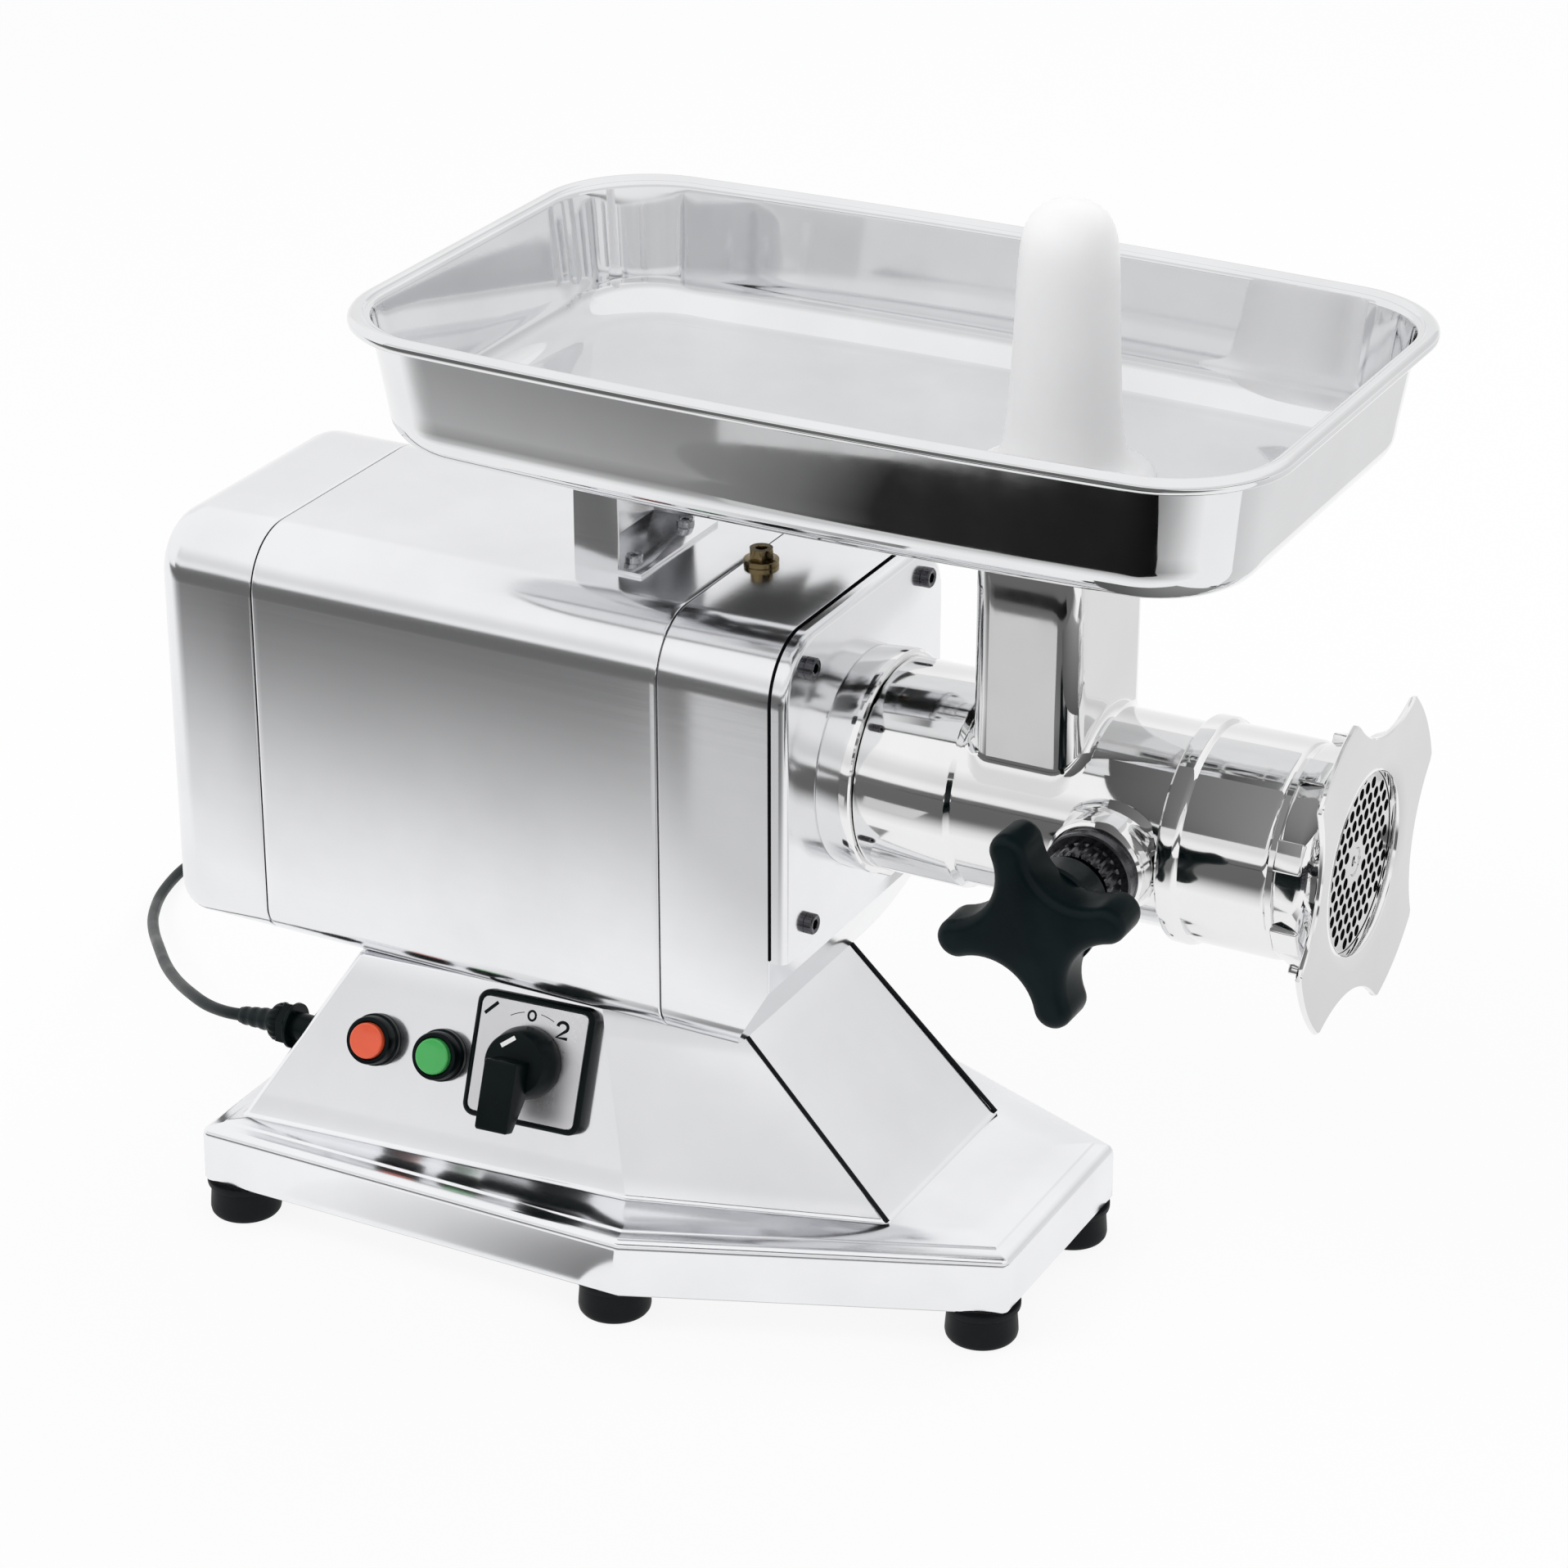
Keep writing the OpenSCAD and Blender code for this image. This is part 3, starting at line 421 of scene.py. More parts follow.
def prism(name: str, outline: Outline, profile: Iterable[Sequence[float]], place: Place,
          ends: Ends = Ends.FLAT) -> bpy.types.Object:
    """A prism as an object, see prism_rings.

    Args:
        name: name of the object.
        outline: the outline, or a function that gives it for an inset.
        profile: pairs (inset, height).
        place: frame of the prism.
        ends: how the rings close.

    Returns:
        The object.
    """
    return Shell().add(prism_rings(outline, profile, place), ends).mesh(name)


def on_rings(low: int, high: int, factor: Callable[[Array], Array]) -> Wave:
    """A wave that scales only some rings of a turned piece.

    Args:
        low: index of the first profile point that is scaled.
        high: index of the last one.
        factor: gives the factor for angles about the axis.

    Returns:
        A function of the angles and the profile's index.
    """

    def wave(t: Array, i: int) -> Array:
        """Factor on the radius of ring i at the angles t."""
        return factor(t) if low <= i <= high else np.ones_like(t)

    return wave


def hexagonal(t: Array) -> Array:
    """Factor that turns a circle through a hexagon's corners into the hexagon."""
    return math.cos(math.pi / 6) / np.cos(t % (math.pi / 3) - math.pi / 6)


def knurled(count: int, depth: float, t: Array) -> Array:
    """Factor of soft ridges about the axis.

    Args:
        count: ridges around.
        depth: their height as a share of the radius.
        t: angles, in radians.

    Returns:
        The factor at each angle.
    """
    return 1 + depth * np.cos(t * count)


def lathe_rings(profile: Sequence[Sequence[float]], place: Place, n: int = 96,
                wave: Optional[Wave] = None) -> Array:
    """Rings of a turned shape: each profile point (height, radius) becomes a circle about c.

    Args:
        profile: pairs (height, radius).
        place: the frame whose c is the axis.
        n: points around.
        wave: optional factor on the radius, called with the angles and the profile's index.

    Returns:
        Rings of shape (len(profile), n, 3).
    """
    p = np.asarray(profile, float)
    t = np.arange(n) * TAU / n
    r = np.repeat(np.maximum(p[:, 1:2], 1e-4), n, axis=1)
    if wave is not None:
        r = r * np.array([wave(t, i) for i in range(len(p))])
    h = np.repeat(p[:, :1], n, axis=1)
    return place.put(np.stack([r * np.cos(t), r * np.sin(t), h], axis=-1))


def turned(name: str, profile: Sequence[Sequence[float]], place: Place, n: int = 96, hollow: bool = False,
           wave: Optional[Wave] = None) -> bpy.types.Object:
    """A turned piece from its half section.

    Args:
        name: the piece's name.
        profile: pairs (height, radius), going round the section.
        place: the frame whose c is the axis.
        n: points around.
        hollow: the section is a closed loop about a bore.
        wave: optional factor on the radius.

    Returns:
        The new object.
    """
    rings = lathe_rings(profile, place, n, wave)
    return Shell().add(rings, Ends.LOOP if hollow else Ends.FLAT).mesh(name)


def at_angles(loop: Array, angles: Array) -> Array:
    """Points of a closed outline about the origin at given directions.

    Args:
        loop: points that go once round the origin, shape (n, 2).
        angles: directions in radians, shape (k,).

    Returns:
        Points of shape (k, 2), with the radius read between the outline's points.
    """
    dense = resampled(loop, 0.8)
    t = np.arctan2(dense[:, 1], dense[:, 0])
    r = np.interp(angles, t, np.hypot(dense[:, 0], dense[:, 1]), period=TAU)
    return np.column_stack([r * np.cos(angles), r * np.sin(angles)])


def ribbon_rings(path: Array, width: float, low: float, high: float, place: Place) -> Array:
    """Rings of a flat ribbon along a path: both borders lie half a width to the path's sides.

    Args:
        path: points, shape (n, 2).
        width: its width.
        low: height of its underside.
        high: height of its top.
        place: the frame the path lies in.

    Returns:
        Rings of shape (2, 2 n, 3).
    """
    tangent = np.gradient(path, axis=0)
    tangent /= np.linalg.norm(tangent, axis=1, keepdims=True)
    side = np.stack([-tangent[:, 1], tangent[:, 0]], 1) * width / 2
    loop = np.concatenate([path - side, (path + side)[::-1]])
    return prism_rings(loop, [(0, low), (0, high)], place)


def join(name: str, parts: Sequence[bpy.types.Object]) -> bpy.types.Object:
    """Puts several meshes into the first one, and gives it a name.

    Args:
        name: the piece's name.
        parts: mesh objects at the origin.

    Returns:
        The one object that is left.
    """
    bm = bmesh.new()
    for part in parts:
        bm.from_mesh(part.data)
    keep = parts[0]
    for part in parts[1:]:
        bpy.data.objects.remove(part)
    bm.to_mesh(keep.data)
    bm.free()
    keep.name = keep.data.name = name
    smooth(keep)
    return keep


# ---------------------------------------------------------------- finishes


def blank(owner: Union[bpy.types.Material, bpy.types.World]) -> bpy.types.NodeTree:
    """Gives a material or world an empty node tree."""
    owner.use_nodes = True
    owner.node_tree.nodes.clear()
    return owner.node_tree


def wired(tree: bpy.types.NodeTree, kind: str, values: dict[Union[int, str], Value],
          **settings: str) -> bpy.types.Node:
    """Adds a shader node, with its inputs linked or set.

    Args:
        tree: the node tree.
        kind: the node's type, without ShaderNode in front.
        values: for each input its name or number, and the socket to link or the constant to set.
        settings: attributes of the node.

    Returns:
        The new node.
    """
    node = tree.nodes.new("ShaderNode" + kind)
    for key, setting in settings.items():
        setattr(node, key, setting)
    for key, value in values.items():
        if isinstance(value, bpy.types.NodeSocket):
            tree.links.new(value, node.inputs[key])
        else:
            node.inputs[key].default_value = value
    return node


class NodeSheet:
    """A material's node tree, with short calls for the nodes that the finishes use."""

    def __init__(self, name: str) -> None:
        """Starts a material with a Principled shader.

        Args:
            name: the material's name.
        """
        self.material = bpy.data.materials.new(name)
        self.material.use_nodes = True
        self.tree = self.material.node_tree
        self.shader = self.tree.nodes["Principled BSDF"]
        self.space = self.tree.nodes.new("ShaderNodeTexCoord").outputs["Object"]

    def link(self, out: bpy.types.NodeSocket, to: bpy.types.NodeSocket) -> None:
        """Joins two sockets."""
        self.tree.links.new(out, to)

    def noise(self, scale: Sequence[float], size: float = 1.0, detail: float = 3.0,
              rough: float = 0.55) -> bpy.types.NodeSocket:
        """Noise on Object coordinates, stretched by a scale along each axis.

        Args:
            scale: factors on x, y and z.
            size: the texture's own scale, in waves per metre after that.
            detail: octaves.
            rough: how much the small octaves count.

        Returns:
            The noise value, 0 to 1.
        """
        mapping = wired(self.tree, "Mapping", {"Vector": self.space, "Scale": scale})
        noise = wired(self.tree, "TexNoise", {"Vector": mapping.outputs["Vector"], "Scale": size, "Detail": detail,
                                              "Roughness": rough})
        return noise.outputs["Fac"]

    def spread(self, value: bpy.types.NodeSocket, low: float, high: float, start: float = 0.3,
               stop: float = 0.7) -> bpy.types.NodeSocket:
        """Maps start..stop of a value to low..high.

        Args:
            value: the socket to map.
            low: the number that start becomes.
            high: the number that stop becomes.
            start: first value.
            stop: last value.

        Returns:
            The mapped value.
        """
        node = wired(self.tree, "MapRange", {"Value": value, "From Min": start, "From Max": stop, "To Min": low,
                                             "To Max": high})
        return node.outputs["Result"]

    def blend(self, value: bpy.types.NodeSocket, first: Sequence[float],
              second: Sequence[float]) -> bpy.types.NodeSocket:
        """Colour between two colours by a value.

        Args:
            value: 0 gives the first colour, 1 the second.
            first: red, green, blue.
            second: red, green, blue.

        Returns:
            The colour socket.
        """
        node = wired(self.tree, "Mix", {"Factor": value, 6: (*first, 1), 7: (*second, 1)}, data_type="RGBA")
        return node.outputs[2]

    def bump(self, *layers: tuple[bpy.types.NodeSocket, float]) -> None:
        """Chains bump layers into the shader's normal.

        Args:
            layers: pairs of a height from 0 to 1 and what a height of 1 is in metres.
        """
        below = {}
        for height, distance in layers:
            node = wired(self.tree, "Bump", {"Distance": distance, "Height": height, **below})
            below = {"Normal": node.outputs["Normal"]}
        self.link(below["Normal"], self.shader.inputs["Normal"])

    def fix(self, **values: float) -> None:
        """Sets constants on the shader's own sockets, with _ for a space in a name."""
        for key, number in values.items():
            self.shader.inputs[key.replace("_", " ")].default_value = number


def shade(colour: Sequence[float], factor: float) -> tuple[float, float, float]:
    """A colour made darker or lighter by a factor, kept under 1."""
    return tuple(min(1.0, c * factor) for c in colour)


@dataclass(frozen=True)
class Metal:
    """Bare metal: brush lines along one direction, faint smudges and a slow waviness of the sheet."""

    name: str
    colour: tuple[float, float, float] = (0.80, 0.81, 0.83)
    rough: float = 0.22
    spread: float = 0.05
    lines: tuple[float, float, float] = (4, 900, 900)
    line_depth: float = 4e-6
    wave: float = 0.0
    wave_size: float = 9.0

    def build(self) -> bpy.types.Material:
        """Makes the material.

        Returns:
            The new material.
        """
        n = NodeSheet(self.name)
        n.fix(Metallic=1.0)
        brush = n.noise(self.lines, 1.0, 2.0)
        smudge = n.noise((1, 1, 1), 14.0, 4.0)
        n.link(n.blend(n.spread(smudge, 0, 1), self.colour, shade(self.colour, 0.94)), n.shader.inputs["Base Color"])
        rough = wired(n.tree, "Math", {0: n.spread(brush, -self.spread, self.spread),
                                       1: n.spread(smudge, self.rough - self.spread, self.rough + self.spread)},
                      operation="ADD")
        n.link(rough.outputs[0], n.shader.inputs["Roughness"])
        layers = [(brush, self.line_depth)]
        if self.wave:
            layers.append((n.noise((1, 1, 1), self.wave_size, 1.0), self.wave))
        n.bump(*layers)
        return n.material


@dataclass(frozen=True)
class Moulded:
    """Moulded plastic or rubber: fine grain, slight uneven gloss, and a little dust in the tone."""

    name: str
    colour: tuple[float, float, float] = (0.02, 0.021, 0.023)
    rough: float = 0.4
    spread: float = 0.08
    grain: float = 900.0
    grain_depth: float = 1.5e-5
    tone: float = 1.35
    through: float = 0.0
    coat: float = 0.0
    gloss: float = 0.5

    def build(self) -> bpy.types.Material:
        """Makes the material.

        Returns:
            The new material.
        """
        n = NodeSheet(self.name)
        n.fix(IOR=1.5, Specular_IOR_Level=self.gloss, Coat_Weight=self.coat, Coat_Roughness=0.08)
        if self.through:
            n.fix(Subsurface_Weight=self.through, Subsurface_Scale=0.012)
            n.shader.inputs["Subsurface Radius"].default_value = (1.0, 0.9, 0.8)
        cloud = n.noise((1, 1, 1), 30.0, 4.0)
        n.link(n.blend(n.spread(cloud, 0, 1), self.colour, shade(self.colour, self.tone)),
               n.shader.inputs["Base Color"])
        n.link(n.spread(cloud, self.rough - self.spread, self.rough + self.spread), n.shader.inputs["Roughness"])
        n.bump((n.noise((1, 1, 1), self.grain, 2.0), self.grain_depth))
        return n.material


FINISHES = {
    f.name: f
    for f in (
        Metal("satin_sheet", (0.88, 0.885, 0.90), 0.15, 0.015, (3, 1200, 1200), 6e-7, 6e-6, 5.0),
        Metal("base_sheet", (0.90, 0.905, 0.925), 0.14, 0.015, (3, 1200, 1200), 5e-7, 8e-6, 6.0),
        Metal("mirror_sheet", (0.84, 0.845, 0.855), 0.055, 0.012, (60, 60, 60), 4e-7, 5e-5, 9.0),
        Metal("polished_cast", (0.88, 0.88, 0.88), 0.07, 0.02, (60, 60, 60), 8e-7, 6e-5, 22.0),
        Metal("turned_steel", (0.84, 0.84, 0.84), 0.12, 0.03, (1600, 30, 30), 1e-6, 1.5e-5, 20.0),
        Metal("machined", (0.62, 0.62, 0.62), 0.30, 0.06, (900, 60, 60), 6e-6),
        Metal("zinc_screw", (0.55, 0.56, 0.58), 0.28, 0.06, (300, 300, 300), 6e-6),
        Metal("turned_brass", (0.78, 0.58, 0.27), 0.2, 0.05, (300, 300, 1200), 5e-6),
        # Brass with its base colour darkened to a deep brown.
        Metal("darkened_brass", (0.20, 0.15, 0.075), 0.16, 0.05, (300, 300, 1200), 5e-6),
        Metal("wound_copper", (0.72, 0.33, 0.16), 0.35, 0.08, (1400, 40, 40), 6e-5),
        Metal("cast_aluminium", (0.62, 0.63, 0.64), 0.45, 0.08, (300, 300, 300), 4e-5),
        Metal("core_steel", (0.30, 0.31, 0.33), 0.5, 0.08, (2000, 20, 20), 5e-5),
        Metal("blackened_steel", (0.10, 0.10, 0.11), 0.25, 0.06, (300, 300, 300), 6e-6),
        Metal("dial_plate", (0.80, 0.80, 0.82), 0.32, 0.04, (900, 8, 900), 3e-6),
        Moulded("black_moulded", (0.0015, 0.004, 0.0045), 0.30, 0.06, 700, 6e-6, 1.6, gloss=0.10),
        # Painted shade: flat black for the shadow in the plate joint and behind the plate's holes.
        Moulded("painted_shade_black", (0.004, 0.004, 0.005), 0.8, 0.0, 300, 0.0, gloss=0.0),
        Moulded("knob_moulded", (0.002, 0.006, 0.007), 0.34, 0.07, 500, 2e-5, 1.8, gloss=0.11),
        Moulded("foot_rubber", (0.004, 0.005, 0.006), 0.5, 0.1, 500, 3e-5, 1.9, gloss=0.12),
        Moulded("cord_rubber", (0.004, 0.008, 0.009), 0.38, 0.08, 400, 1.5e-5, 1.7, gloss=0.18),
        Moulded("white_moulded", (0.93, 0.93, 0.93), 0.34, 0.04, 300, 1.5e-5, 0.97, 0.35),
        Moulded("red_moulded", (0.80, 0.10, 0.035), 0.25, 0.05, 500, 1.0e-5, 0.86, 0.1, 0.3),
        Moulded("green_moulded", (0.05, 0.42, 0.09), 0.25, 0.05, 500, 1.0e-5, 0.86, 0.1, 0.3),
        Moulded("grey_moulded", (0.28, 0.28, 0.29), 0.5, 0.08, 500, 2e-5, 0.9),
        # Painted highlight: white for the glint painted on the switch hub.
        Moulded("glint_white", (0.9, 0.9, 0.88), 0.4, 0.05, 500, 5e-6, 0.97),
    )
}
_made: dict[str, bpy.types.Material] = {}


def finish(obj: bpy.types.Object, name: str) -> bpy.types.Object:
    """Dresses a piece with a finish.

    Args:
        obj: the piece.
        name: a key of FINISHES.

    Returns:
        The piece.
    """
    if name not in _made:
        _made[name] = FINISHES[name].build()
    obj.data.materials.clear()
    obj.data.materials.append(_made[name])
    return obj


def place(obj: bpy.types.Object, body: str, *nodes: str) -> bpy.types.Object:
    """Makes a piece ride on a body and stand for its nodes, and logs it.

    Args:
        obj: the piece.
        body: body of the frame.
        nodes: the nodes it stands for.

    Returns:
        The piece.
    """
    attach(obj, body)
    if nodes:
        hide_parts(*nodes)
    LOG.info("%s: %d faces, rides on %s", obj.name, len(obj.data.polygons) if obj.type == "MESH" else 0, body)
    return obj


# ---------------------------------------------------------------- studio


@dataclass
class Studio:
    """Camera, pale floor, soft lamps, and the reflecting cards that a metal object is set up with."""

    lens: float = 104.66
    target: tuple[float, float, float] = (-0.025, 0.05535, 0.2385)
    back: tuple[float, float, float] = (0.4199, -0.7998, 0.4289)
    distance: float = 2.5065
    floor_half: float = 15.0
    floor_glow: float = 0.88
    wall_radius: float = 9.0

    def camera(self) -> None:
        """Puts the camera where the object is looked at from."""
        cam = bpy.data.cameras.new("camera")
        cam.lens, cam.sensor_width, cam.clip_end = self.lens, 36.0, 60.0
        obj = linked("camera", cam)
        back = Vector(self.back).normalized()
        obj.location = Vector(self.target) + back * self.distance
        obj.rotation_mode = "QUATERNION"
        obj.rotation_quaternion = (-back).to_track_quat("-Z", "Y")
        bpy.context.scene.camera = obj

    def sheet(self, name: str, points: Sequence[Sequence[float]], z: float) -> bpy.types.Object:
        """A level sheet with a given outline, staged.

        Args:
            name: its name.
            points: its outline (x, y), in metres.
            z: its height, in metres.

        Returns:
            The sheet.
        """
        mesh = bpy.data.meshes.new(name)
        mesh.from_pydata([(x, y, z) for x, y in points], [], [list(range(len(points)))])
        obj = linked(name, mesh)
        return obj

    def floor(self) -> None:
        """Pale floor: white to the camera and to metal, with the object's soft shadow kept on it."""
        obj = self.sheet("floor", box2(self.floor_half, self.floor_half), 0.0)
        mat = bpy.data.materials.new("floor_white")
        tree = blank(mat)
        diffuse = wired(tree, "BsdfDiffuse", {"Color": (0.9, 0.9, 0.9, 1)})
        glow = wired(tree, "Emission", {})
        share = wired(tree, "Math", {0: seen_directly(tree), 1: self.floor_glow}, operation="MULTIPLY")
        mix = wired(tree, "MixShader", {"Fac": share.outputs[0], 1: diffuse.outputs[0], 2: glow.outputs[0]})
        wired(tree, "OutputMaterial", {"Surface": mix.outputs[0]})
        obj.data.materials.append(mat)

    def card(self, name: str, points: Sequence[Sequence[float]], z: float, axis: int,
             stops: Sequence[tuple[float, float]]) -> None:
        """A card that only reflections see, graded along x or y.

        Args:
            name: its name.
            points: its outline (x, y), in metres.
            z: its height, in metres.
            axis: 0 grades along x, 1 along y.
            stops: pairs of a place along that axis in metres and the grey there.
        """
        self.glow(self.sheet(name, points, z), axis, stops)

    def world(self) -> None:
        """White all round to the camera, metal and glass, and a plain even light on everything else."""
        world = bpy.data.worlds.new("studio")
        bpy.context.scene.world = world
        tree = blank(world)
        seen = wired(tree, "Background", {"Color": (1, 1, 1, 1)})
        room = wired(tree, "Background", {"Color": (0.8, 0.8, 0.81, 1)})
        mix = wired(tree, "MixShader", {"Fac": seen_directly(tree), 1: room.outputs[0], 2: seen.outputs[0]})
        wired(tree, "OutputWorld", {"Surface": mix.outputs[0]})

    def shell(self, name: str, start: float, end: float, stops: Sequence[tuple[float, float]]) -> None:
        """A round wall of the studio that only reflections see, graded by the height over the floor.

        A point of the wall lies at radius * (cos a, sin a) for directions a between start and end.

        Args:
            name: its name.
            start: first direction from +X, in degrees.
            end: last direction, in degrees.
            stops: pairs of a height in metres and the grey there.
        """
        radius = self.wall_radius
        a = np.radians(np.linspace(start, end, 40))
        grid = np.array([[(radius * math.cos(t), radius * math.sin(t), h) for t in a]
                         for h in np.linspace(0.0, radius, 20)])
        obj = Shell().add(grid / MM, Ends.OPEN, False).mesh(name)
        self.glow(obj, 2, stops)

    def glow(self, obj: bpy.types.Object, axis: int, stops: Sequence[tuple[float, float]]) -> None:
        """Makes a staged piece glow in greys graded along one axis, for reflections alone.

        Args:
            obj: the piece.
            axis: 0, 1 or 2 for x, y or z.
            stops: pairs of a place along that axis in metres and the grey there.
        """
        mat = bpy.data.materials.new(obj.name)
        tree = blank(mat)
        low, high = min(s[0] for s in stops), max(s[0] for s in stops)
        split = wired(tree, "SeparateXYZ", {0: wired(tree, "TexCoord", {}).outputs["Object"]})
        share = wired(tree, "MapRange", {"Value": split.outputs[axis], "From Min": low, "From Max": high})
        ramp = wired(tree, "ValToRGB", {0: share.outputs[0]})
        grade(ramp, [((s - low) / (high - low), g) for s, g in sorted(stops)])
        shine = wired(tree, "Emission", {"Color": ramp.outputs[0]})
        wired(tree, "OutputMaterial", {"Surface": shine.outputs[0]})
        obj.data.materials.append(mat)
        obj.visible_camera = obj.visible_diffuse = obj.visible_shadow = False
        obj.visible_transmission = obj.visible_volume_scatter = False

    def lamp(self, name: str, at: tuple[float, float, float], aim: tuple[float, float, float],
             size: tuple[float, float], watts: float) -> None:
        """A soft rectangular lamp.

        Args:
            name: its name.
            at: its place, in metres.
            aim: the point it faces.
            size: width and height, in metres.
            watts: its power.
        """
        data = bpy.data.lights.new(name, "AREA")
        data.shape, data.size, data.size_y, data.energy = "RECTANGLE", size[0], size[1], watts
        obj = linked(name, data)
        obj.location = at
        obj.visible_glossy = False
        obj.rotation_mode = "QUATERNION"
        obj.rotation_quaternion = (Vector(aim) - Vector(at)).to_track_quat("-Z", "Y")

    def build(self) -> None:
        """Sets up the whole studio."""
        self.floor()
        self.world()
        self.shell("dim_side", -145, 20, [(0.0, 0.15), (0.72, 0.15), (0.95, 0.95), (1.7, 0.95), (2.6, 0.78),
                                          (3.7, 0.80), (4.5, 0.88), (6.0, 1.0), (9.0, 1.0)])
        self.shell("right_side", 20, 85, [(0.0, 0.80), (3.0, 0.76), (4.6, 0.84), (6.5, 0.95), (9.0, 1.0)])
        self.shell("back_side", 85, 150, [(0.0, 0.95), (3.0, 0.90), (4.6, 0.92), (6.5, 1.0), (9.0, 1.0)])
        self.lamp("key", (-1.2, -1.6, 2.6), (0, 0, 0.25), (1.6, 1.0), 22)
        self.lamp("back", (1.0, 2.2, 1.9), (0, 0, 0.3), (1.8, 1.0), 16)
        self.card("front_card", [(-8.8, -9), (3, -9), (1.4, -0.36), (-3.5, -0.36)], 0.002, 1,
                  [(-9.0, 0.15), (-0.90, 0.14), (-0.80, 0.20), (-0.70, 0.36), (-0.60, 0.56), (-0.50, 0.80),
                   (-0.36, 1.0)])
        self.card("casing_card", [(-0.281, -0.589), (-0.483, -0.973), (-0.05, -0.973), (-0.05, -0.589)], 0.004, 0,
                  [(-0.483, 0.62), (-0.05, 0.66)])
        self.card("rim_card", [(-0.25, -0.275), (-0.055, -0.275), (-0.055, -0.165), (-0.25, -0.165)], 0.003, 0,
                  [(-0.25, 0.95), (-0.16, 0.7), (-0.09, 0.35), (-0.055, 0.22)])
        self.card("right_card", [(0.40, 0.12), (3.5, 0.12), (3.5, 3.5), (0.40, 3.5)], 0.003, 1,
                  [(0.12, 0.70), (0.6, 0.80), (3.5, 0.86)])
        self.card("throat_card", [(0.198, -0.16), (0.322, -0.16), (0.322, -0.035), (0.198, -0.035)], 0.36, 0,
                  [(0.198, 0.10), (0.322, 0.30)])
        self.card("under_tray", [(-0.094, 0.045), (0.0, 0.045), (0.0, 0.12), (-0.02, 0.135), (-0.035, 0.118),
                                 (-0.05, 0.15), (-0.07, 0.14), (-0.094, 0.165)], 0.465, 1,
                  [(0.045, 0.05), (0.1, 0.03), (0.165, 0.12)])
        t = np.linspace(math.pi / 2, 1.5 * math.pi, 33)
        oval = np.column_stack([0.34 + 0.495 * np.cos(t), -0.385 + 0.048 * np.sin(t)])
        self.card("tray_card", oval, 0.30, 0, [(-0.155, 0.28), (-0.06, 0.16), (0.0, 0.02), (0.34, 0.005)])
        bpy.context.scene.view_settings.view_transform = "Standard"


def seen_directly(tree: bpy.types.NodeTree) -> bpy.types.NodeSocket:
    """Socket that is 1 for camera, glossy and transmission rays.

    Args:
        tree: the node tree.

    Returns:
        The socket.
    """
    path = tree.nodes.new("ShaderNodeLightPath")
    seen = path.outputs["Is Camera Ray"]
    for key in ("Is Glossy Ray", "Is Transmission Ray"):
        seen = wired(tree, "Math", {0: seen, 1: path.outputs[key]}, operation="MAXIMUM").outputs[0]
    return seen


def grade(ramp: bpy.types.Node, stops: Sequence[tuple[float, float]]) -> None:
    """Writes a colour ramp's stops.

    Args:
        ramp: a colour ramp node.
        stops: pairs (place from 0 to 1, grey).
    """
    items = ramp.color_ramp.elements
    items[0].position, items[1].position = stops[0][0], stops[-1][0]
    for where, _ in stops[1:-1]:
        items.new(where)
    for item, (_, grey) in zip(items, stops):
        item.color = (grey, grey, grey, 1)


# ---------------------------------------------------------------- cord and plug


def tube_rings(path: Array, radius: Array, n: int = 16) -> Array:
    """Rings of a tube about a path that never runs upright.

    Each ring lies square to the path's tangent: one axis is tangent x up, the other is square to both.

    Args:
        path: points of the centre line, shape (m, 3).
        radius: one radius for each point, shape (m,).
        n: points around.

    Returns:
        Rings of shape (m, n, 3).
    """
    tangent = np.gradient(path, axis=0)
    tangent /= np.linalg.norm(tangent, axis=1, keepdims=True)
    side = np.cross(tangent, [0.0, 0.0, 1.0])
    side /= np.linalg.norm(side, axis=1, keepdims=True)
    up = np.cross(side, tangent)
    t = np.arange(n) * TAU / n
    ring = np.cos(t)[None, :, None] * side[:, None] + np.sin(t)[None, :, None] * up[:, None]
    return path[:, None] + np.asarray(radius)[:, None, None] * ring


